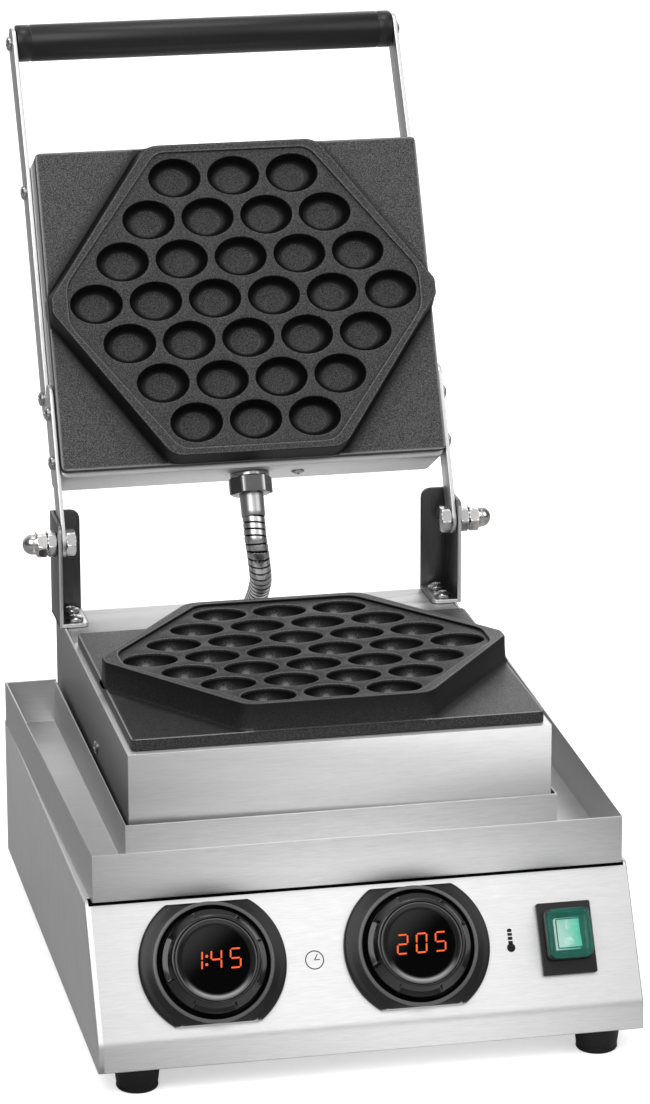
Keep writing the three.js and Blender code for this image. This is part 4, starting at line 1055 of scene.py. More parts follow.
@dataclass
class BakingPlate:
    """A cast plate: a flange, a hexagonal island, a recessed land and thirty bubbles."""

    pitch: float = 32.5
    row_spacing: float = 22.63
    rows: tuple[int, ...] = (3, 4, 5, 6, 5, 4, 3)
    bubble: tuple[float, float] = (14.4, 10.9)
    disc: tuple[float, float] = (7.8, 6.7)
    depth: float = 10.0
    half: tuple[float, float] = (106.0, 88.2)
    flange: float = 6.0
    island: float = 12.0
    rim: float = 1.8
    lip: float = 0.7
    shadow: float = 4.5
    around: int = 40
    steps: int = 480

    def centres(self) -> np.ndarray:
        """The middles of the bubbles.

        Returns:
            One row of X and Y for each bubble.
        """
        return np.array([
            ((i - (n - 1) / 2) * self.pitch, (row - (len(self.rows) - 1) / 2) * self.row_spacing)
            for row, n in enumerate(self.rows) for i in range(n)])

    def hexagon(self, reach: float, flat: float, tip: float, flat_trim: float,
                tip_trim: float) -> np.ndarray:
        """An outline whose slanting edges run beside the outer bubbles at a distance of reach.

        Args:
            reach: the distance from the outer bubbles' middles to the slanting edges.
            flat: how far the front and back edges are from the middle.
            tip: how far the blunt left and right tips are from it.
            flat_trim: how much of each edge the front and back corners use.
            tip_trim: how much of each edge the tips' corners use.

        Returns:
            The outline, read off at even angles.
        """
        slant = math.atan2(self.row_spacing, self.pitch / 2)
        crossing = (max(self.rows) - 1) / 2 * self.pitch + reach / math.sin(slant)
        tip_y = max((crossing - tip) * math.tan(slant), tip_trim * 2)
        flat_x = crossing - flat / math.tan(slant)
        front = [(-tip, -tip_y), (-flat_x, -flat), (flat_x, -flat), (tip, -tip_y)]
        back = [(-x, -y) for x, y in front]
        trims = [tip_trim, flat_trim, flat_trim, tip_trim] * 2
        return self.polar(rounded(front + back, trims, steps=8))

    def land_edge(self) -> np.ndarray:
        """The outline of the recessed land."""
        return self.hexagon(16.2, self.half[1] - 6.2, self.half[0] - 9, 5.5, 5.5)

    def island_edge(self) -> np.ndarray:
        """The outline of the island's top."""
        return self.hexagon(22.7, self.half[1] - 2, self.half[0], 7, 1.5)

    def bearings(self) -> np.ndarray:
        """The even angles at which outlines are read off."""
        return np.linspace(-np.pi, np.pi, self.steps, endpoint=False)

    def polar(self, outline: np.ndarray) -> np.ndarray:
        """An outline read off at even angles: its radius between known points is interpolated.

        Args:
            outline: an outline about the plate's middle.

        Returns:
            Its points at the even angles.
        """
        dense = np.vstack([outline, outline[:1]])
        t = np.linspace(0, 1, 90, endpoint=False)[None, :, None]
        dense = (dense[:-1, None] * (1 - t) + dense[1:, None] * t).reshape(-1, 2)
        angle = np.arctan2(dense[:, 1], dense[:, 0])
        order = np.argsort(angle)
        wanted = self.bearings()
        radius = np.interp(wanted, angle[order], np.hypot(*dense[order].T), period=2 * np.pi)
        return radius[:, None] * on_circle(wanted)

    def walls(self) -> Surface:
        """Everything but the land: rings from the land's edge over the rim, down the island, over
        the flange and in under the plate.

        Returns:
            The surface, open at the land.
        """
        w, h = self.half
        rim, foot, under = self.rim, -self.island, -self.island - self.flange
        plate = self.polar(rounded_rectangle(2 * w, 2 * h, 2.5))
        upper = [(self.land_edge(), [(0, 0), (0.12, 0.1), (0.2, rim - 0.5), (-0.1, rim - 0.15),
                                     (-0.45, rim), (-1.1, rim)]),
                 (self.island_edge(), [(1.6, rim), (0.8, rim), (0.25, rim - 0.22), (0, rim - 0.8),
                                       (-1.5, foot + 1.6), (-2.0, foot + 0.6), (-3.0, foot)])]
        flange = [(plate, [(0.5, foot), (0.12, foot - 0.12), (0, foot - 0.5), (0, under + 0.3),
                           (0.3, under)])]
        inner, outer = ([level(drawn_in(line, inset), z) for line, steps in part
                         for inset, z in steps] for part in (upper, flange))
        start, stop = inner[-1], outer[0]
        room = np.linalg.norm(stop - start, axis=1, keepdims=True)
        near, far = (np.minimum(reach / np.maximum(room, 0.01), 0.4) for reach in (self.shadow, 1.2))
        between = [start + (stop - start) * near, start + (stop - start) * (1 - far)]
        limit = np.array([w, h]) - 0.02
        for ring in inner:
            ring[:, :2] = np.clip(ring[:, :2], -limit, limit)
        return capped(np.array(inner + between + outer), first=False)

    def bowls(self) -> Surface:
        """All bubbles: a small rounded lip, a curved wall and a flat disc, for every centre.

        Along the wall, the half width goes from the bubble's to the disc's with cos(s) while the
        depth goes down with sin(s).

        Returns:
            The surface, open at the lips.
        """
        sweep = np.linspace(0, np.pi / 2, 14)
        bend = np.linspace(0, np.pi / 2, 4)[:-1]
        circle = on_circle(even_angles(self.around))
        half, disc = np.array(self.bubble), np.array(self.disc)
        upper = circle[None] * (half + (self.lip * (1 - np.sin(bend)))[:, None, None])
        lower = circle[None] * (disc + (half - disc) * np.cos(sweep)[:, None, None])
        floor = circle[None] * disc * np.array([0.97, 0.9, 0.5, 0.0])[:, None, None]
        flat = np.vstack([upper, lower, floor])
        fall = -self.lip - (self.depth - 0.3 - self.lip) * np.sin(sweep)
        bottom = -self.depth + np.array([0.1, 0, 0, 0])
        depth = np.concatenate([-self.lip * (1 - np.cos(bend)), fall, bottom])
        depth = np.broadcast_to(depth[:, None, None], flat.shape[:2] + (1,))
        one = np.concatenate([flat, depth], axis=-1)
        return joined([woven(one + np.array([x, y, 0])) for x, y in self.centres()])

    def land(self) -> Surface:
        """The flat land between the bubbles, as triangles between its edge and the lips.

        Returns:
            The surface, open at the lips.
        """
        centres = self.centres()
        lip = on_circle(even_angles(self.around)) * (np.array(self.bubble) + self.lip)
        loops = [self.land_edge()] + [lip + centre for centre in centres]
        edges = []
        first = 0
        for loop in loops:
            numbers = np.arange(first, first + len(loop))
            edges += list(zip(numbers.tolist(), np.roll(numbers, -1).tolist()))
            first += len(loop)
        corners = [Vector(point) for point in np.vstack(loops).tolist()]
        found = delaunay_2d_cdt(corners, edges, [], 1, 1e-6)
        places = np.array([tuple(v) for v in found[0]])
        corners = np.array([tuple(f) for f in found[2]])
        middle = places[corners].mean(axis=1)
        size = np.array(self.bubble) + self.lip * 0.9
        inside = (((middle[:, None] - centres[None]) / size) ** 2).sum(axis=2) < 1
        corners = corners[~inside.any(axis=1)]
        return Surface(level(places, 0), [tuple(f) for f in corners.tolist()])

    def build(self, shop: Workshop) -> None:
        """Makes the lower and the upper plate; a plate's land is at zero, its bubbles open up.

        Args:
            shop: the workshop that makes the pieces.
        """
        plate = self.walls() + self.bowls() + self.land()
        places = {"lower": ("base", shift(0, 0, LAND)),
                  "upper": ("lid", LID_OPEN @ shift(0, 0, UPPER_LAND) @ turn("X", 180))}
        for word, (body, place) in places.items():
            shop.add(f"{word}_plate_cast", plate, "plate_coat", body, f"{word}_baking_plate",
                     place=place, shade=self.lower_shade if word == "lower" else self.shade)

    def beyond(self, points: np.ndarray, outline: np.ndarray) -> np.ndarray:
        """How far points lie outside an outline, measured from the plate's middle.

        Args:
            points: places on the plate.
            outline: an outline read off at even angles.

        Returns:
            A distance for each place, below zero inside the outline.
        """
        angle = np.arctan2(points[:, 1], points[:, 0])
        limit = np.interp(angle, self.bearings(), np.hypot(*outline.T), period=2 * np.pi)
        return np.hypot(points[:, 0], points[:, 1]) - limit

    def lower_shade(self, points: np.ndarray) -> np.ndarray:
        """The shade of the lower plate."""
        return self.shade(points, True)

    def shade(self, points: np.ndarray, lower: bool = False) -> np.ndarray:
        """The coat's painted shade and highlights, from -1 on edges that shine to 1 on the bubbles'
        walls.

        Args:
            points: places on the plate, in its own frame.
            lower: whether it is the lower plate, whose flange is painted darker and whose bubbles get
            a painted highlight at the foot of each far wall.

        Returns:
            The values for the shade attribute.
        """
        x, y, z = points.T
        gap = points[:, None, :2] - self.centres()[None]
        size = np.array(self.bubble) + self.lip
        over_bubble = (((gap / size) ** 2).sum(axis=2) < 1.0).any(axis=1)
        nearest = gap[np.arange(len(gap)), (gap ** 2).sum(axis=2).argmin(axis=1)]
        from_disc = np.sqrt(((nearest / np.array(self.disc)) ** 2).sum(axis=1))
        # Painted shade: the bubbles' walls nearly black, their discs lighter.
        wall = 0.98 * smooth_step(-z, 0.2, 1.4) * smooth_step(from_disc, 1.0, 1.14)
        # The rim's flat, painted highlight lines on its edges, painted shade on the island's side, and
        # the flange's middle.
        flat_rim, lines, side, middle = 0.3, -0.12, 0.97, np.zeros(len(points))
        if lower:
            # Lower plate: a painted highlight low on each far wall and on the lips, and a flange
            # painted darker, most at the front left.
            painted_hotspot = np.exp(-((nearest[:, 0] + 1.0) / 4.0) ** 2) * smooth_step(nearest[:, 1], 2.0, 6.0)
            wall = np.where(z > -0.5, -0.15, wall - 1.6 * painted_hotspot * smooth_step(-z, 1.6, 7.0))
            flat_rim, lines, side = 0.05, -0.25, 0.8
            middle = 0.1 + 0.45 * (smooth_step(-x, 0.0, 60.0) * smooth_step(-y, 0.0, 40.0))
        to_edge = (np.array(self.half) - np.abs(points[:, :2])).min(axis=1)
        outside = self.beyond(points, self.island_edge())
        from_land = self.beyond(points, self.land_edge())
        rim = np.where((from_land < 0.9) | (outside > -1.3), lines, flat_rim)
        top = np.where(z > self.rim - 0.2, rim, np.where(z > 0.05, 0.95, 0.34))
        # Painted shadow at the island's foot; painted highlights on the flange's upper edge and painted
        # shade on its side faces.
        painted_foot_shadow = 1 - smooth_step(outside, 3.0, 3.0 + self.shadow * 0.9)
        edge = np.where(z > -self.island - 0.3, -0.5, 0.55)
        flange = np.where(to_edge < 0.8, edge, middle + (0.9 - middle) * painted_foot_shadow)
        below = np.where(z < 0.3 - self.island, flange, side)
        inside = over_bubble & (z < -0.05) & (z > -self.depth - 0.05)
        floor = np.where(from_disc < 1.0, 0.25, wall)
        return np.where(inside, floor, np.where(~over_bubble & (z < -0.2), below, top))


@dataclass
class BaseUnit:
    """The folded base with its sloping panel, its feet, its printed signs and its rear gland."""

    width: float = 275.8
    front: float = -169.1
    back: float = 150.3
    bottom: float = 13.1
    knee: float = 26.9
    sheet: float = 1.5
    foot_x: float = 116.9
    feet_y: tuple[float, float] = (-156.9, 138.1)
    bend: float = 2.6
    seam: float = 0.032
    panel_ends: tuple[float, float] = (3.0, 0.9)
    clock_at: tuple[float, float, float] = (-26.6, -37.6, 0)
    thermometer_at: tuple[float, float, float] = (73.4, -35.6, 0)
    cord_at: tuple[float, float] = (-92, 42)

    def housing(self, shop: Workshop) -> None:
        """The outer sheet: its side view carried across, open below and given a wall.

        Args:
            shop: the workshop that makes the pieces.
        """
        low = self.bottom - 5
        corners = [(self.front, low), (self.back, low), (self.back, BASE_TOP),
                   (-PANEL_AHEAD, BASE_TOP), (self.front, self.knee)]
        outline = rounded(corners, [0.01, 0.01, 2.2, self.bend, self.bend])
        half = self.width / 2
        piece = shop.add("base_sheet", slab(outline, -half, half, 1.0), "steel_side", "base",
                         "base_housing", place=SIDEWAYS, floor=self.bottom)
        shop.thicken(piece, self.sheet)

    def front_sheet(self, shop: Workshop) -> None:
        """The front sheet over lip and slope, which leaves a narrow seam at both ends, and a black
        strip in the gap under the tray, a painted shadow.

        Args:
            shop: the workshop that makes the pieces.
        """
        slope = np.array([(self.front, self.knee), (-PANEL_AHEAD, BASE_TOP)])
        end = slope[1] + (slope[0] - slope[1]) * self.seam
        line = [(self.front, self.bottom + 0.4), (self.front, self.knee), tuple(end)]
        path = rounded(line, [0.01, self.bend, 0.01], closed=False)
        outward = leftward(unit(np.gradient(path, axis=0)))
        outline = np.vstack([path - outward * 0.2, (path + outward * 0.26)[::-1]])
        left, right = self.panel_ends
        ends = (left - self.width / 2, self.width / 2 - right)
        rings = [np.column_stack([np.full(len(outline), x), outline]) for x in ends]
        shop.add("front_panel_sheet", capped(np.array(rings)), "steel_panel")
        # A black strip under the tray's front edge: a painted shadow in the gap.
        shadow_strip = rounded([(-133.55, 87.1), (-128, 87.1), (-128, 89.2), (-132.4, 89.15)], 0.1)
        inside = self.width / 2 - 2
        shop.add("tray_gap_lining", slab(shadow_strip, -inside, inside, 0.3), "gap_lining", place=SIDEWAYS)

    def feet(self, shop: Workshop) -> None:
        """Four moulded rubber feet.

        Args:
            shop: the workshop that makes the pieces.
        """
        foot = turned([[0, 0.6], [6.5, 0.6], [7.0, 0], [9.6, 0], [10.1, 0.35], [10.5, 1.0], [10.5, 1.7],
                       [10.25, 2.3], [10.35, 2.9], [11.5, 11.4], [11.7, 12.2], [11.5, 12.7],
                       [10.8, 12.8], [2.5, 12.8], [2.5, 17.0], [0, 17.0]], 56)
        for end, y in zip(("front", "rear"), self.feet_y):
            for side in Side:
                node = f"foot_{end}_{side.word}"
                shop.add(node + "_moulded", foot, "foot_rubber", "base", node,
                         place=shift(side.value * self.foot_x, y, 0))

    def signs(self, shop: Workshop) -> None:
        """The printed clock between the dials and the printed thermometer beside the second one.

        Args:
            shop: the workshop that makes the pieces.
        """
        clock = hoop(4.25, 4.75, SEAT, SEAT + PRINT_THICKNESS).placed(shift(0.2, 0, 0))
        for tip in ((1.8, 2.7), (2.7, 0.1)):
            clock = clock + printed(stroke([(0.2, 0), tip], 0.42, 4))
        shop.add("clock_sign", clock, "panel_ink", place=PANEL @ shift(*self.clock_at))
        marks = [stroke([(0, -3.9), (0, -3.8)], 4.3)]
        marks += [rounded_rectangle(2.3, end - y, 0.15, 0, (y + end) / 2)
                  for y, end in ((-2.2, -0.4), (0.1, 1.7), (2.2, 3.6), (4.1, 4.9))]
        marks.append(stroke([(-0.35, 5.0), (0.35, 5.0)], 1.5))
        shop.add("thermometer_sign", joined([printed(mark) for mark in marks]), "panel_ink",
                 place=PANEL @ shift(*self.thermometer_at))

    def build(self, shop: Workshop) -> None:
        """Makes the base.

        Args:
            shop: the workshop that makes the pieces.
        """
        self.housing(shop)
        self.front_sheet(shop)
        self.feet(shop)
        self.signs(shop)
        shop.edged("base_bottom_plate", "steel_across", 0.2)
        shop.dress("board_green", "power_board")
        shop.dress("terminal_ceramic", "terminal_block")
        x, z = self.cord_at
        gland = [[4, -5.5], [8, -5.5], [8, 0.3], [11.6, 0.3], [12, 0.7], [12, 3.4], [11.6, 4],
                 [8.6, 4.2], [8, 5], [7.6, 8], [6.9, 8.4], [6.9, 9.4], [7.3, 9.8], [6.8, 12.6],
                 [6.3, 13], [6.2, 15.6], [5.8, 16], [4, 16], [4, -5.5]]
        shop.add("cord_gland_moulded", turned(gland, 48), "satin_black", "base", "cord_gland",
                 place=shift(x, self.back, z) @ ALONG_Y)


@dataclass
class DripTray:
    """The channel on three sides of the heater housing, which pulls out to the front."""

    half: float = 139.0
    front: float = -136.4
    back: float = 137.4
    gap: float = 110.8
    inner_front: float = -94.4
    bottom: float = 89.3
    height: float = 25.0
    inner_drop: float = 0.8
    sheet: float = 1.2

    def line(self, outer: bool, inset: float, z: float) -> np.ndarray:
        """A U seen from above, open to the back: the outer wall moved in, or the inner one out.

        Args:
            outer: whether it follows the outer wall.
            inset: how far the wall is moved.
            z: its height.

        Returns:
            The points, from the left end to the right.
        """
        if outer:
            x, y, trim = self.half - inset, self.front + inset, max(4.8 - inset, 0.6)
        else:
            x, y, trim = self.gap + inset, self.inner_front - inset, 0.4 + 0.5 * inset
        end = self.back - 0.4
        corners = [(-x, end), (-x, y), (x, y), (x, end)]
        line = rounded(corners, [0.01, trim, trim, 0.01], closed=False)
        return level(np.vstack([corners[0], line[7:-7], corners[3]]), z)

    def build(self, shop: Workshop) -> None:
        """Makes the tray: its cross-section, carried along the U, and the two end walls.

        Args:
            shop: the workshop that makes the pieces.
        """
        low, high = self.bottom, self.bottom + self.height
        inner = high - self.inner_drop
        outer_wall = [(4.0, low), (1.6, low), (0.5, low + 0.45), (0, low + 1.6), (0, high - 0.35),
                      (0.12, high - 0.08), (0.45, high), (0.8, high), (1.1, high - 0.1),
                      (1.2, high - 0.4), (1.2, low + 2.6), (1.8, low + 1.6), (2.8, low + 1.2),
                      (4, low + 1.2)]
        inner_wall = [(2.8, low + 1.2), (1.6, low + 1.6), (1.2, low + 2.6), (1.2, inner - 0.35),
                      (1.05, inner - 0.08), (0.75, inner), (0.4, inner), (0.1, inner - 0.1),
                      (0, inner - 0.4), (0, low + 1.0), (0.5, low + 0.2), (1.4, low)]
        lines = [self.line(True, *step) for step in outer_wall]
        lines += [self.line(False, *step) for step in inner_wall]
        shape = woven(np.array(lines), close_rows=True, close_columns=False)
        for side in Side:
            middle = side.value * (self.half + self.gap) / 2
            end = rounded_rectangle(self.half - self.gap, self.sheet, 0.4, middle,
                                    self.back - self.sheet / 2)
            shape = shape + slab(end, low, high, 0.3)
        shop.add("drip_tray_sheet", shape, "steel_across", "drip_tray", "drip_tray")


@dataclass
class HeaterBox:
    """The housing under the lower plate, with its rear cover and side screws."""

    screw: tuple[float, float, float] = (108.8, 6.9, 119.6)

    def build(self, shop: Workshop) -> None:
        """Makes the housing from its solid and adds the screws of its sides.

        Args:
            shop: the workshop that makes the pieces.
        """
        shop.edged("heater_housing", "steel_housing", 0.5)
        shop.edged("rear_deck", "steel_deck", 0.3)
        shop.dress("heater_tube", "lower_heating_element", "lower_temperature_sensor")
        x, y, z = self.screw
        for side in Side:
            shop.add(f"housing_screw_{side.word}", screw_head(3.4, 1.9, 0.0, 1.0), "bright_steel",
                     place=shift(side.value * x, y, z) @ turn("Y", 90 * side.value))


@dataclass
class ControlKnob:
    """A dial on its bezel with a display in the middle.

    Args:
        word: what it sets, as in its nodes' names.
        x: its place across the panel.
        figures: what the display shows.
    """

    word: str
    x: float
    figures: str
    down: float = 35.3
    first_grip: float = -6.0
    grip_depth: float = 1.9
    figure_size: tuple[float, float] = (5.0, 9.3)
    figure_pitch: float = 9.6
    figure_height: float = 13.42

    def bezel(self) -> Surface:
        """The bezel: a disc with two straight sides, carried over its rounded edge, up a shallow
        cone to a thin ring and down into the well of the dial.

        Returns:
            The surface.
        """
        rows = np.array([(37.0, 0.3), (37.0, 1.6), (36.7, 2.4), (36.0, 2.9), (34.6, 3.15), (33.2, 3.6),
                         (31.2, 4.7), (30.2, 5.1), (29.6, 5.2), (28.9, 5.2), (28.4, 5.1), (28.3, 4.9),
                         (28.3, 1.6), (15.0, 1.55), (15.0, 0.3)])
        radius = rows[:, :1]
        points = spun(radius, rows[:, 1:], even_angles(160))
        flat = 30.5 - np.maximum(0, 37.0 - radius) * 0.24
        points[..., 1] = np.clip(points[..., 1], -flat, flat)
        return woven(points, close_rows=True)

    def lower_edge(self, points: np.ndarray) -> np.ndarray:
        """A painted highlight along the bezel's lower edge, where its gloss would catch the light."""
        return smooth_step(-points[:, 1], 30.0, 30.2)

    def well(self) -> Surface:
        """A matt black ring in the groove between the dial and the bezel's ring: a painted shadow."""
        return turned([[26.6, 1.6], [28.35, 1.6], [28.35, 5.3], [28.15, 5.3], [28.15, 3.4],
                       [26.6, 3.4], [26.6, 1.6]], 160)

    def ring(self) -> Surface:
        """The bright ring round the dial's groove: a flat bead with rounded edges."""
        return turned([[28.35, 4.8], [28.35, 5.35], [28.6, 5.58], [29.9, 5.58], [30.15, 5.4],
                       [30.25, 5.05], [30.25, 4.8], [28.35, 4.8]], 160)

    def dial(self) -> Surface:
        """The dial: a lathed cap whose flank is pressed in at four long grips.

        The flank's radius falls by the grip's depth where both its angle and its height are inside
        a grip.

        Returns:
            The surface.
        """
        profile = rounded([(14.6, 1.8), (26.3, 1.8), (26.3, 7.4), (21.9, 13.6), (20.7, 13.6),
                           (20.7, 5.2), (14.6, 5.2)], [0.01, 0.5, 1.6, 0.9, 0.4, 0.3, 0.01],
                          closed=False, steps=7)
        fine = [profile[:1]]
        for a, b in zip(profile[:-1], profile[1:]):
            count = max(1, int(np.linalg.norm(b - a) / 0.6))
            fine.append(a + (b - a) * np.linspace(0, 1, count + 1)[1:, None])
        line = np.vstack(fine)
        radius, height = line[:, :1], line[:, 1:]
        angle = even_angles(240)
        from_middle = np.abs((np.degrees(angle) - self.first_grip + 45) % 90 - 45)
        across = 1 - smooth_step(from_middle, 24.5, 27.5)
        upward = smooth_step(height, 8.0, 8.7) * (1 - smooth_step(height, 11.6, 12.2))
        pressed = self.grip_depth * (upward * (radius > 21.4)) * across[None]
        return woven(spun(radius - pressed, height, angle), close_rows=True)

    def window(self) -> Surface:
        """The display: a rounded ring that slopes down to a flat window, on its stem.

        Returns:
            The surface.
        """
        face = [[r, 13.4] for r in np.linspace(16.7, 0, 14)]
        return turned([[0, 1.5], [10, 1.5], [10, 7.7], [19.8, 7.7], [20.3, 8.1], [20.3, 13.3],
                       [20.0, 13.65], [19.5, 13.8], [18.9, 13.76], [18.3, 13.65], [17.7, 13.54],
                       [17.2, 13.42], *face], 128)

    def figure_strokes(self) -> Surface:
        """The lit figures: slanting bars in seven places, and two dots for a colon.

        Returns:
            The surface.
        """
        size = np.array(self.figure_size)
        z = self.figure_height
        made = []
        for place, sign in enumerate(self.figures.replace(":", "")):
            corner = np.array([(place - 1) * self.figure_pitch - size[0] / 2, 0])
            for letter in FIGURES[sign]:
                x0, y0, x1, y1 = BARS[letter]
                a = corner + size * (x0, y0 - 0.5)
                b = corner + size * (x1, y1 - 0.5)
                along = (b - a) / np.linalg.norm(b - a) * 0.72
                made.append(printed(stroke([tuple(a + along), tuple(b - along)], 0.78, 4), z))
        if ":" in self.figures:
            dot = turned([[0, z], [0.72, z], [0.72, z + PRINT_THICKNESS], [0, z + PRINT_THICKNESS]], 24)
            made += [dot.placed(shift(-self.figure_pitch / 2, y, 0)) for y in (-2.2, 1.9)]
        slant = np.eye(4)
        slant[0, 1] = 0.1
        return joined(made).placed(slant)

    def sheen(self, points: np.ndarray) -> np.ndarray:
        """The window's painted reflection: a soft sheen, strongest at its upper left, and all round on
        its rim.

        Args:
            points: places on the window.

        Returns:
            A shade for each place.
        """
        # Painted reflections: a sheen at the upper left, a thin line on the rim and a brighter arc low
        # on it.
        away = np.hypot(points[:, 0], points[:, 1])
        upper_left = smooth_step(points[:, 1] - points[:, 0] * 0.8, 0.0, 22.0)
        arc = np.where(points[:, 1] < 0, 1.0, 0.12) * smooth_step(np.abs(points[:, 1]), 7.0, 18.5)
        line = 0.32 * smooth_step(away, 19.4, 19.8)
        glow = 0.85 * arc * (1 - smooth_step(np.abs(away - 18.7), 0.4, 1.3))
        rim = np.maximum(line, glow) + 0.03
        return np.where(away > 16.75, rim, upper_left * 0.075)

    def build(self, shop: Workshop) -> None:
        """Makes the bezel, dial, display and figures, and dresses the module behind them.

        Args:
            shop: the workshop that makes the pieces.
        """
        place = PANEL @ shift(self.x, -self.down, 0)
        word = self.word
        dial, display = f"{word}_dial", f"{word}_display"
        shop.add(f"{word}_bezel_moulded", self.bezel(), "bezel_satin", "base", f"{word}_bezel",
                 place=place, shade=self.lower_edge)
        # A black ring that paints shadow into the dial's groove.
        shop.add(f"{word}_groove_lining", self.well(), "gap_lining", place=place)
        shop.add(f"{dial}_moulded", self.dial(), "knob_gloss", dial, dial, place=place)
        shop.add(f"{word}_bezel_ring", self.ring(), "ring_satin", place=place)
        shop.add(f"{display}_window", self.window(), "window_gloss", display, display, place=place,
                 shade=self.sheen)
        shop.add(f"{word}_figures", self.figure_strokes(), "figure_glow", display, place=place)
        shop.dress("module_plastic", f"{word}_module")


@dataclass
class PowerSwitch:
    """The lit rocker switch under its clear cover."""

    x: float = 101.7
    down: float = 37.0
    tilt: float = 7.0
    axis: float = 1.5
    lift: float = 1.3

    def glow(self, points: np.ndarray) -> np.ndarray:
        """The rocker's painted highlight, whitest towards its left."""
        return 0.95 * smooth_step(-points[:, 0] - points[:, 1] * 0.3, -1.0, 6.0)

    def frame(self, shop: Workshop, place: np.ndarray) -> None:
        """The flange, the collar with the thin lines inside it, and the body behind the panel.

        Args:
            shop: the workshop that makes the pieces.
            place: the matrix that places the switch on the panel.
        """
        collar = capped(boxed(23.0, 25.4, 3.0, [
            (0, 0.6), (0, 8.5), (0.15, 8.85), (0.5, 9.0), (1.0, 9.0), (1.2, 8.9), (1.3, 8.6),
            (1.3, 5.2), (1.7, 5.0), (4.6, 5.0), (4.9, 4.8), (4.9, -3.6)], self.lift))
        shape = slab(rounded_rectangle(27.7, 36.4, 1.2), 0.3, 3.0) + collar
        shape = shape + slab(rounded_rectangle(21, 29, 1.2), -20, 0.4)
        shop.add("switch_frame_moulded", shape, "satin_black", "base", "switch_frame", place=place)
        for name, width, length in (("inner", 12.9, 15.1), ("outer", 16.4, 18.8)):
            ring = boxed(width, length, 1.0, [(0, 8.7), (0, 9.2), (0.5, 9.2), (0.5, 8.7)], self.lift)
            shop.add(f"switch_{name}_line", woven(ring, close_rows=True), "frame_green", place=place)

    def build(self, shop: Workshop) -> None:
        """Makes the frame, rocker, marks and cover.

        Args:
            shop: the workshop that makes the pieces.
        """
        place = PANEL @ shift(self.x, -self.down, 0)
        self.frame(shop, place)
        rock = place @ shift(0, self.lift, self.axis) @ turn("X", -self.tilt)
        y = np.linspace(7.5, -7.5, 25)
        crown = np.column_stack([y, 4.9 + 1.1 * (y / 7.5) ** 2])
        side = np.vstack([[(-7.5, -2.5), (0, -4.5), (7.5, -2.5)], crown])
        # The rocker gets a painted highlight, whitest towards its left.
        shop.add("switch_rocker_lit", slab(side, -6.4, 6.4, 0.5).placed(SIDEWAYS), "rocker_glow",
                 "rocker", "switch_rocker", place=rock, shade=self.glow)
        bar = slab(rounded_rectangle(0.8, 4.4, 0.2, 0, 4.4), 5.1, 5.85, 0.02)
        ring = hoop(1.5, 2.1, 4.8, 5.8, 40).placed(shift(0, -4.3, 0))
        shop.add("switch_marks", bar + ring, "mark_white", "rocker", place=rock)
        cover = capped(boxed(23.2, 25.2, 5.6, [
            (3.4, 10.9), (3.0, 9.3), (0.1, 9.3), (0, 9.8), (0.1, 10.7), (0.5, 11.4), (1.2, 11.8),
            (2.2, 11.9), (3.2, 11.7), (3.7, 11.4)], self.lift))
        shop.add("switch_cover_clear", cover, "cover_clear", "base", "switch_cover", place=place)


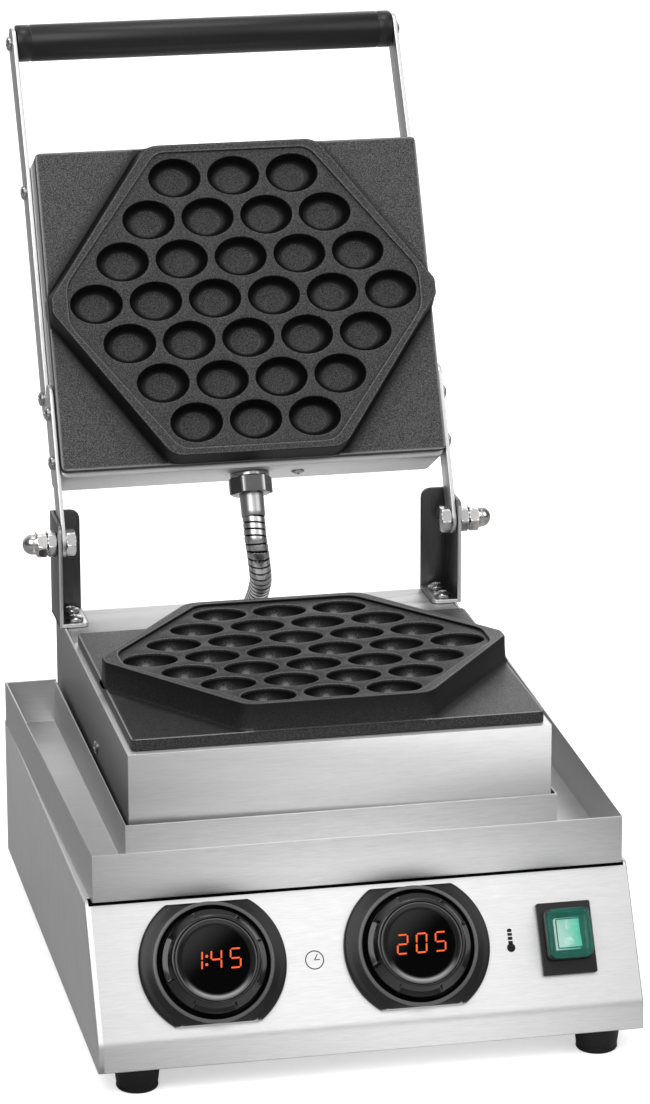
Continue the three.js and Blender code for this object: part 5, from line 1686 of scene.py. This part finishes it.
@dataclass
class HingeSide:
    """One side's hinge: bracket, bolt, nut, cap nut and the bracket's two screws."""

    side: Side
    near: float = 95.0
    far: float = 111.1
    sheet: float = 2.0
    front: float = 116.0
    back: float = 147.0
    bottom: float = 149.8
    top: float = 207.5
    stack: float = 106.5
    screw_x: float = 102.0
    screws_y: tuple[float, float] = (122.5, 137.5)

    def bracket(self, shop: Workshop) -> None:
        """The bracket: a foot, a side plate and a back plate of sheet with rounded free corners.

        Args:
            shop: the workshop that makes the pieces.
        """
        near, far, front, back, sheet = self.near, self.far, self.front, self.back, self.sheet
        foot = rounded([(near, front), (far, front), (far, back), (near, back)],
                       [5.0, 2.0, 0.2, 0.2])
        side = rounded([(front, self.bottom), (back, self.bottom), (back, self.top),
                        (front, self.top)], [0.4, 0.2, 0.6, 5.0])
        rear = rounded([(near, self.bottom), (far, self.bottom), (far, self.top),
                        (near, self.top)], [0.2, 0.2, 0.6, 6.0])
        shape = slab(foot, self.bottom, self.bottom + sheet)
        shape = shape + slab(side, far - sheet, far).placed(SIDEWAYS)
        shape = shape + slab(rear, -back, sheet - back).placed(UPRIGHT)
        node = f"hinge_bracket_{self.side.word}"
        shop.add(node + "_folded", shape, "bracket_steel", "base", node,
                 place=np.diag([self.side.value, 1.0, 1.0, 1.0]), shade=self.cut_edges)

    def cut_edges(self, points: np.ndarray) -> np.ndarray:
        """The bracket's cut edges towards the front, painted to shine as highlights where the faces are
        dark.
        """
        corner = (points[:, 1] - self.front) + (points[:, 0] - self.near) < 3.1
        return np.where((points[:, 1] < self.front + 0.3) | corner, -1.0, 0.0)

    def build(self, shop: Workshop) -> None:
        """Makes the hinge's pieces.

        Args:
            shop: the workshop that makes the pieces.
        """
        word, sign = self.side.word, self.side.value
        self.bracket(shop)
        bolt = hexagon_nut(13, 5.3, 0.02).placed(shift(0, 0, -5.6))
        bolt = bolt + turned([[0, -4], [4, -4], [4, 12], [3.6, 12.6], [0, 12.6]], 32)
        angle = np.linspace(0, np.pi / 2, 12)
        dome = np.column_stack([5.6 * np.cos(angle), 7.2 + 5.6 * np.sin(angle)])
        profile = np.vstack([[(4.4, 0.2), (5.9, 0.2), (5.9, 5.4), (5.6, 5.8)], dome, [(0, 12.8)]])
        cap = hexagon_nut(13, 5.4, 8.8) + turned(profile, 48)
        cap = cap + turned([[4.4, 0.2], [4.4, 6.0], [0, 6.6]], 48)
        stack = shift(sign * self.stack, *HINGE) @ turn("Y", 90 * sign)
        pieces = [("pivot_bolt", bolt, "bright_steel", 0.0),
                  ("pivot_nut", hexagon_nut(13, 4.8, 8.8), "bright_steel", 4.9),
                  ("pivot_cap_nut", cap, "bright_nickel", 10.0)]
        for name, shape, finish, out in pieces:
            shop.add(f"{name}_{word}_turned", shape, finish, "base", f"{name}_{word}",
                     place=stack @ shift(0, 0, out))
        for end, y in zip(("front", "rear"), self.screws_y):
            node = f"bracket_screw_{end}_{word}"
            shop.add(node + "_head", screw_head(4.7, 3.0), "bright_steel", "base", node,
                     place=shift(sign * self.screw_x, y, self.bottom + self.sheet))


@dataclass
class Lid:
    """The upper housing: a shallow box with a lip round the upper plate."""

    width: float = 212.4
    ahead: float = 89.0
    behind: float = 91.0
    bottom: float = 190.1
    top: float = 228.3
    sheet: float = 1.4
    screw: tuple[float, float] = (27.0, 207.8)

    def build(self, shop: Workshop) -> None:
        """Makes the housing by carrying its outline over lip, side and top, and gives it a wall.

        Args:
            shop: the workshop that makes the pieces.
        """
        low, high = self.bottom, self.top
        steps = [(9, low), (0.9, low), (0.3, low + 0.25), (0, low + 0.9), (0, high - 1.5),
                 (0.2, high - 0.75), (0.75, high - 0.2), (1.5, high), (12, high)]
        rings = boxed(self.width, self.ahead + self.behind, 5.0, steps, (self.behind - self.ahead) / 2)
        piece = shop.add("lid_sheet", capped(rings, first=False), "steel_across", "lid",
                         "lid_housing", place=LID_OPEN)
        shop.thicken(piece, self.sheet)
        x, z = self.screw
        shop.add("lid_rear_screw", screw_head(3.6, 2.0, 0.0, 1.0), "bright_steel", "lid",
                 place=LID_OPEN @ shift(x, self.behind, z) @ ALONG_Y)
        shop.dress("heater_tube", "upper_heating_element", "upper_temperature_sensor")


@dataclass
class HandleFrame:
    """The handle with its two arms, the two hinge arms and all their screws."""

    handle: tuple[float, float] = (-161.0, 220.8)
    arm_height: float = 213.3
    arm_width: float = 18.0
    arm_bend: float = -85.0
    arm_end: float = 44.0
    arm_screws: tuple[float, float] = (-74.0, 42.0)
    hinge_arm_width: float = 16.0
    hinge_arm_end: float = 46.0
    hinge_arm_screws: tuple[float, float] = (54.0, 81.0)
    inner: float = 106.5
    outer: float = 108.8
    grip_half: float = 106.2
    grip_radius: float = 10.25

    def arms(self, shop: Workshop, side: Side) -> None:
        """One side's two flat arms: strokes along their middle lines, laid against the lid.

        Args:
            shop: the workshop that makes the pieces.
            side: the side of the machine.
        """
        right = side is Side.RIGHT
        near, far = (self.inner, self.outer) if right else (-self.outer, -self.inner)
        long = [self.handle, (self.arm_bend, self.arm_height), (self.arm_end, self.arm_height)]
        short = [(self.hinge_arm_end, HINGE[1]), HINGE]
        for name, line, width in (("handle", long, self.arm_width),
                                  ("hinge", short, self.hinge_arm_width)):
            shape = slab(stroke(line, width, 14), near, far).placed(SIDEWAYS)
            node = f"{name}_arm_{side.word}"
            shop.add(node + "_cut", shape, "steel_arm", "lid", node, place=LID_OPEN)

    def screws(self, shop: Workshop, side: Side) -> None:
        """One side's five screws.

        Args:
            shop: the workshop that makes the pieces.
            side: the side of the machine.
        """
        places = {"handle_end_screw": self.handle}
        for arm, height, pair in (("handle_arm", self.arm_height, self.arm_screws),
                                  ("hinge_arm", HINGE[1], self.hinge_arm_screws)):
            places |= {f"{arm}_screw_{end}": (y, height) for end, y in zip(("front", "rear"), pair)}
        for name, place in places.items():
            node = f"{name}_{side.word}"
            outside = shift(side.value * self.outer, *place) @ turn("Y", 90 * side.value)
            shop.add(node + "_head", screw_head(), "bright_steel", "lid", node,
                     place=LID_OPEN @ outside)

    def grip(self, shop: Workshop) -> None:
        """The handle: a long tube with rounded ends and a shallow ring near each end.

        Args:
            shop: the workshop that makes the pieces.
        """
        half, r = self.grip_half, self.grip_radius
        profile = [[0, -half], [r - 1.2, -half], [r - 0.35, -half + 0.35], [r, -half + 1.2],
                   [r, -half + 7], [r - 0.25, -half + 7.4], [r - 0.25, -half + 8.2], [r, -half + 8.6]]
        profile += [[a, -b] for a, b in reversed(profile)]
        shop.add("handle_grip_tube", turned(profile, 72), "satin_black", "lid", "handle_grip",
                 place=LID_OPEN @ shift(0, *self.handle) @ ALONG_X)

    def build(self, shop: Workshop) -> None:
        """Makes the handle, the arms and the screws.

        Args:
            shop: the workshop that makes the pieces.
        """
        self.grip(shop)
        for side in Side:
            self.arms(shop, side)
            self.screws(shop, side)


@dataclass
class Conduit:
    """The wound metal conduit between lid and base, with a gland at each end.

    Args:
        diameter: its outside.
        bore: its inside.
        groove: how deep the groove between the ribs is.
        pitch: how far the ribs are apart, elsewhere and on the first bend.
        opening: the groove's share of a turn, elsewhere and on the first bend.
        gland: how far each gland reaches.
        lid_gland: where the lid's gland sits, with the lid closed.
        base_gland: where the base's gland sits.
        from_lid: points of its route, counted from the end of its straight stretch at the lid.
        from_base: the same for the base.
        first_bend: how far along it the first bend starts, is full, lets go and ends.
        flank: the share of a turn in which a rib rises or falls.
        sides: how many corners its section has.
        step: how far apart the points of its middle line are.
    """

    diameter: float = 12.2
    bore: float = 8.4
    groove: float = 0.7
    pitch: tuple[float, float] = (3.7, 5.4)
    opening: tuple[float, float] = (0.12, 0.28)
    gland: float = 24.0
    lid_gland: tuple[float, float] = (91.0, 206.8)
    base_gland: tuple[float, float, float] = (6.0, 150.3, 63.0)
    from_lid: tuple = ((1, -1.4, -7.8), (2.5, 1.1, -17.8), (4, 7.1, -25.8), (5, 15.6, -31.8),
                       (6, 27.1, -40.3))
    from_base: tuple = ((0.5, -10.1, 73), (0.5, 4.9, 59), (0.5, 15.9, 42), (0.5, 19.9, 25),
                        (0, 13.9, 8))
    first_bend: tuple[float, float, float, float] = (36.0, 46.0, 62.0, 80.0)
    flank: float = 0.08
    sides: int = 36
    step: float = 0.2

    def nut_shape(self) -> Surface:
        """The gland's flat collar and hexagon, about Z.

        Returns:
            The surface.
        """
        collar = turned([[4.2, 0.3], [10.4, 0.3], [10.8, 0.7], [10.8, 2.3], [10.4, 2.7], [4.2, 2.7],
                         [4.2, 0.3]], 56)
        hexagon = hexagon_nut(20.8, 9.2, 8.4, 0.4).placed(shift(0, 0, 2.6) @ turn("Z", 30))
        return collar + hexagon + hoop(4.2, 7, -6, 0.4, 40)

    def nut_edges(self, points: np.ndarray) -> np.ndarray:
        """The nut's six upright edges and the collar, painted bright as highlights where the flats are
        dark.
        """
        away = np.hypot(points[:, 0], points[:, 1])
        return np.where(points[:, 2] > 2.75, smooth_step(away, 11.35, 11.9), 0.3)

    def ferrule_shape(self) -> Surface:
        """The gland's brushed sleeve, which tapers a little towards the conduit, about Z."""
        return turned([[4.2, 11.6], [6.3, 11.6], [6.6, 11.9], [6.6, 13], [6.5, 21.6], [6.55, 22.2],
                       [6.5, 22.4], [6.55, 23.9], [6.3, 24.3], [4.2, 24.3], [4.2, 11.6]], 56)

    def path(self) -> np.ndarray:
        """The conduit's middle line: a straight stretch, a centripetal Catmull-Rom curve through
        the route's points and another straight stretch, as evenly spaced points.

        Returns:
            The points, from the lid's gland to the base's.
        """
        end = self.gland + 2 * SEAT

        def lid_point(reach: float) -> np.ndarray:
            """A point on the lid gland's axis, with the lid open."""
            return (LID_OPEN @ np.array([0, self.lid_gland[0] + reach, self.lid_gland[1], 1]))[:3]

        lid_end, lid_straight = lid_point(end), lid_point(end + self.diameter)
        base_end = np.array(self.base_gland) + (0, end, 0)
        base_straight = base_end + (0, self.diameter, 0)
        knots = np.vstack([lid_straight, lid_straight + np.array(self.from_lid, float),
                           base_straight + np.array(self.from_base, float), base_straight])
        line = np.vstack([lid_end, self._catmull_rom(knots, 24), base_end])
        reach = reaches(line)
        even = np.linspace(0, reach[-1], int(reach[-1] / self.step))
        return np.column_stack([np.interp(even, reach, line[:, i]) for i in range(3)])

    @staticmethod
    def _catmull_rom(knots: np.ndarray, steps: int) -> np.ndarray:
        """Points on a Catmull-Rom curve whose knots are spaced by the root of their distance.

        Args:
            knots: the points that the curve goes through.
            steps: how many pieces it has between two knots.

        Returns:
            The curve's points.
        """
        padded = np.vstack([2 * knots[0] - knots[1], knots, 2 * knots[-1] - knots[-2]])
        gap = np.sqrt(np.linalg.norm(np.diff(padded, axis=0), axis=1))
        points = []
        t = np.linspace(0, 1, steps, endpoint=False)[:, None]
        for i in range(len(knots) - 1):
            a, b, c, d = padded[i:i + 4]
            g0, g1, g2 = gap[i:i + 3]
            start = (b - a) / g0 - (c - a) / (g0 + g1) + (c - b) / g1
            finish = (c - b) / g1 - (d - b) / (g1 + g2) + (d - c) / g2
            points.append((2 * t**3 - 3 * t**2 + 1) * b + (t**3 - 2 * t**2 + t) * (start * g1)
                          + (3 * t**2 - 2 * t**3) * c + (t**3 - t**2) * (finish * g1))
        return np.vstack([*points, knots[-1:]])

    def rib(self, line: np.ndarray, trim: float = 0.0) -> np.ndarray:
        """Where the wound strip stands out, from 0 in the groove to 1 on the rib.

        The rib follows s / pitch + a / full turn at distance s and angle a, so that it climbs like
        a thread. On the first bend its turns are drawn apart and its groove takes a larger share.

        Args:
            line: the conduit's middle line.
            trim: how much of a turn is taken off the rib at either end.

        Returns:
            A value for each place on the line and each angle.
        """
        along = reaches(line)
        start, full, loose, stop = self.first_bend
        bend = smooth_step(along, start, full) * (1 - smooth_step(along, loose, stop))
        pitch = self.pitch[0] + (self.pitch[1] - self.pitch[0]) * bend
        opening = self.opening[0] + (self.opening[1] - self.opening[0]) * bend
        end = (1 - opening - trim)[:, None]
        turns = np.concatenate([[0], np.cumsum(np.diff(along) / pitch[1:])])
        phase = (turns[:, None] + even_angles(self.sides)[None] / (2 * np.pi)) % 1
        rise = smooth_step(phase - trim, 0.0, self.flank)
        return rise * (1 - smooth_step(phase - end, 0.0, self.flank))

    def winding(self, line: np.ndarray) -> Surface:
        """The wound strip about a line, closed by an inner tube.

        Args:
            line: the conduit's middle line.

        Returns:
            The closed surface.
        """
        along = unit(np.gradient(line, axis=0))
        sideways = unit(np.cross(along, np.array([1.0, 0, 0])))
        other = np.cross(along, sideways)
        angle = even_angles(self.sides)[None, :, None]
        radius = self.diameter / 2 - self.groove + self.rib(line) * self.groove
        directions = sideways[:, None] * np.cos(angle) + other[:, None] * np.sin(angle)
        outer = line[:, None] + directions * radius[..., None]
        inner = (line[:, None] + directions * self.bore / 2)[::-1]
        return woven(np.concatenate([outer, inner]), close_rows=True)

    def glands(self, shop: Workshop) -> None:
        """A nut and a sleeve at each end.

        Args:
            shop: the workshop that makes the pieces.
        """
        places = {"lid": LID_OPEN @ shift(0, *self.lid_gland) @ ALONG_Y,
                  "base": shift(*self.base_gland) @ ALONG_Y}
        for word, place in places.items():
            shop.add(f"{word}_gland_nut", self.nut_shape(), "gland_chrome", word,
                     f"{word}_conduit_gland", place=place, shade=self.nut_edges)
            shop.add(f"{word}_gland_sleeve", self.ferrule_shape(), "ferrule_steel", word, place=place)

    def build(self, shop: Workshop) -> None:
        """Makes the glands and the conduit, which bends between the base and the lid. Its shade is
        full in the grooves and on the flanks of the ribs beside them.

        Args:
            shop: the workshop that makes the pieces.
        """
        self.glands(shop)
        middle = self.path()
        piece = shop.mesh("conduit_wound", self.winding(middle))
        piece.data.materials.append(shop.materials["conduit_steel"])
        # Painted shade in the grooves and on the ribs' flanks beside them.
        groove = 1 - self.rib(middle, 0.07).ravel()
        shop.shade(piece, np.pad(groove, (0, len(piece.data.vertices) - len(groove))))
        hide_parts("flexible_conduit")
        shop.used.add("flexible_conduit")
        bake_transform(piece)


# Studio


@dataclass
class Studio:
    """The white studio: camera, lamps, sky and floor."""

    focal: float = 148.69
    eye: tuple[float, float, float] = (-0.4462, -2.2611, 0.9085)
    azimuth: float = -11.7146
    elevation: float = 17.0107
    roll: float = 0.002665
    aim_at: tuple[float, float, float] = (0, 0, 0.15)
    lamps_at: tuple = (("key_lamp", (-1.3, -1.7, 2.3), 2.0, 34.0),
                       ("fill_lamp", (1.7, -1.0, 1.5), 1.4, 10.0),
                       ("top_lamp", (0.1, 0.5, 2.4), 1.6, 7.0),
                       ("rim_lamp", (0.6, 2.3, 1.15), 1.4, 6.0),
                       ("crest_lamp", (0.1, 0.1, 2.0), 0.45, 4.0))

    def place(self, name: str, data: bpy.types.ID) -> bpy.types.Object:
        """Puts a camera, a lamp or a mesh into the scene.

        Args:
            name: the object's name.
            data: what it shows or carries.

        Returns:
            The object.
        """
        placed = bpy.data.objects.new(name, data)
        bpy.context.scene.collection.objects.link(placed)
        return placed

    def camera(self) -> None:
        """A long lens from the front, a little from the left and from above."""
        a, e = math.radians(self.azimuth), math.radians(self.elevation)
        back = Vector((math.sin(a) * math.cos(e), -math.cos(a) * math.cos(e), math.sin(e)))
        right = Vector((math.cos(a), math.sin(a), 0))
        up = back.cross(right)
        c, s = math.cos(self.roll), math.sin(self.roll)
        across, upward = right * c - up * s, right * s + up * c
        data = bpy.data.cameras.new("camera")
        data.lens = self.focal
        data.sensor_width = 36
        data.clip_start, data.clip_end = 0.1, 60
        camera = self.place("camera", data)
        turned_to = Matrix((across, upward, back)).transposed().to_4x4()
        camera.matrix_world = Matrix.Translation(self.eye) @ turned_to
        bpy.context.scene.camera = camera

    def sky(self) -> None:
        """A white sky for the camera, and for gloss a sky with a bright window ahead and above, a
        paler one behind and grey between them and at the sides, as in a studio."""
        world = bpy.data.worlds.new("studio")
        bpy.context.scene.world = world
        world.use_nodes = True
        tree = Tree(world.node_tree)
        x, y, z = tree.parts(tree.own("Generated"))
        window = tree.times(tree.span(y, 0.1, -0.5), tree.span(z, 0.2, 0.55))
        behind = tree.math("ADD", tree.span(y, 0.3, 0.8, 0.0, 0.5), 0.38)
        bright = tree.math("ADD", tree.times(window, 0.68), behind)
        edge = tree.span(tree.math("ABSOLUTE", x), 0.4, 0.9, 1.0, 0.3)
        shade = tree.times(bright, edge)
        glossy = tree.add("CombineColor", {i: shade for i in range(3)}).outputs[0]
        ray = tree.add("LightPath").outputs
        seen = tree.math("ADD", ray["Is Camera Ray"], ray["Is Transmission Ray"], clamp=True)
        shaded = tree.mix(ray["Is Glossy Ray"], colour(0.62), glossy)
        tree.fill(world.node_tree.nodes["Background"],
                  {"Color": tree.mix(seen, shaded, colour(1.0)), "Strength": 1.0})

    def lamps(self) -> None:
        """A wide soft lamp above and ahead on the left, and weaker ones on the right, above and
        behind."""
        for name, place, size, power in self.lamps_at:
            data = bpy.data.lights.new(name, "AREA")
            data.size = size
            data.energy = power
            lamp = self.place(name, data)
            lamp.location = place
            lamp.visible_camera = False
            aim = Vector(self.aim_at) - Vector(place)
            lamp.rotation_euler = aim.to_track_quat("-Z", "Y").to_euler()

    def floor(self) -> None:
        """A white floor that keeps the object's shadow, darker in reflections near the machine."""
        data = bpy.data.meshes.new("floor")
        data.from_pydata([(-9, -9, 0), (9, -9, 0), (9, 9, 0), (-9, 9, 0)], [], [(0, 1, 2, 3)])
        floor = self.place("floor", data)
        material = bpy.data.materials.new("floor_white")
        material.use_nodes = True
        tree = Tree(material.node_tree)
        x, y, _ = tree.parts(tree.own("Object"))
        aside = tree.math("ABSOLUTE", tree.math("SUBTRACT", x, 0.05))
        middle = tree.span(aside, 0.02, 0.24, 1.05, 0.4)
        shade = tree.times(tree.span(y, -0.6, -0.15, 1.0, 0.8), middle)
        mirrored = tree.add("CombineColor", {i: shade for i in range(3)}).outputs[0]
        ray = tree.add("LightPath").outputs
        tree.fill(material.node_tree.nodes["Principled BSDF"], {
            "Base Color": tree.mix(ray["Is Glossy Ray"], colour(0.97), mirrored),
            "Roughness": 0.9, "Specular IOR Level": 0.1, "Emission Color": colour(1.0),
            "Emission Strength": tree.times(ray["Is Camera Ray"], 0.5)})
        data.materials.append(material)

    def build(self) -> None:
        """Makes the studio."""
        self.camera()
        self.sky()
        self.lamps()
        self.floor()
        bpy.context.scene.view_settings.view_transform = "Standard"


def main() -> None:
    """Builds the studio and every sub-assembly in order, and logs the nodes left without a finish."""
    logging.basicConfig(level=logging.INFO, format="%(name)s: %(message)s")
    Studio().build()
    shop = Workshop()
    parts = [Conduit(), BakingPlate(), BaseUnit(), DripTray(), HeaterBox(),
             ControlKnob("timer", -77.5, "1:45"), ControlKnob("temperature", 25.5, "205"),
             PowerSwitch(), HingeSide(Side.LEFT), HingeSide(Side.RIGHT), Lid(), HandleFrame()]
    for part in parts:
        part.build(shop)
    left = sorted(set(frame["nodes"]) - shop.used)
    LOG.info("nodes without a finish: %s", left)


if __name__ == "__main__":
    main()
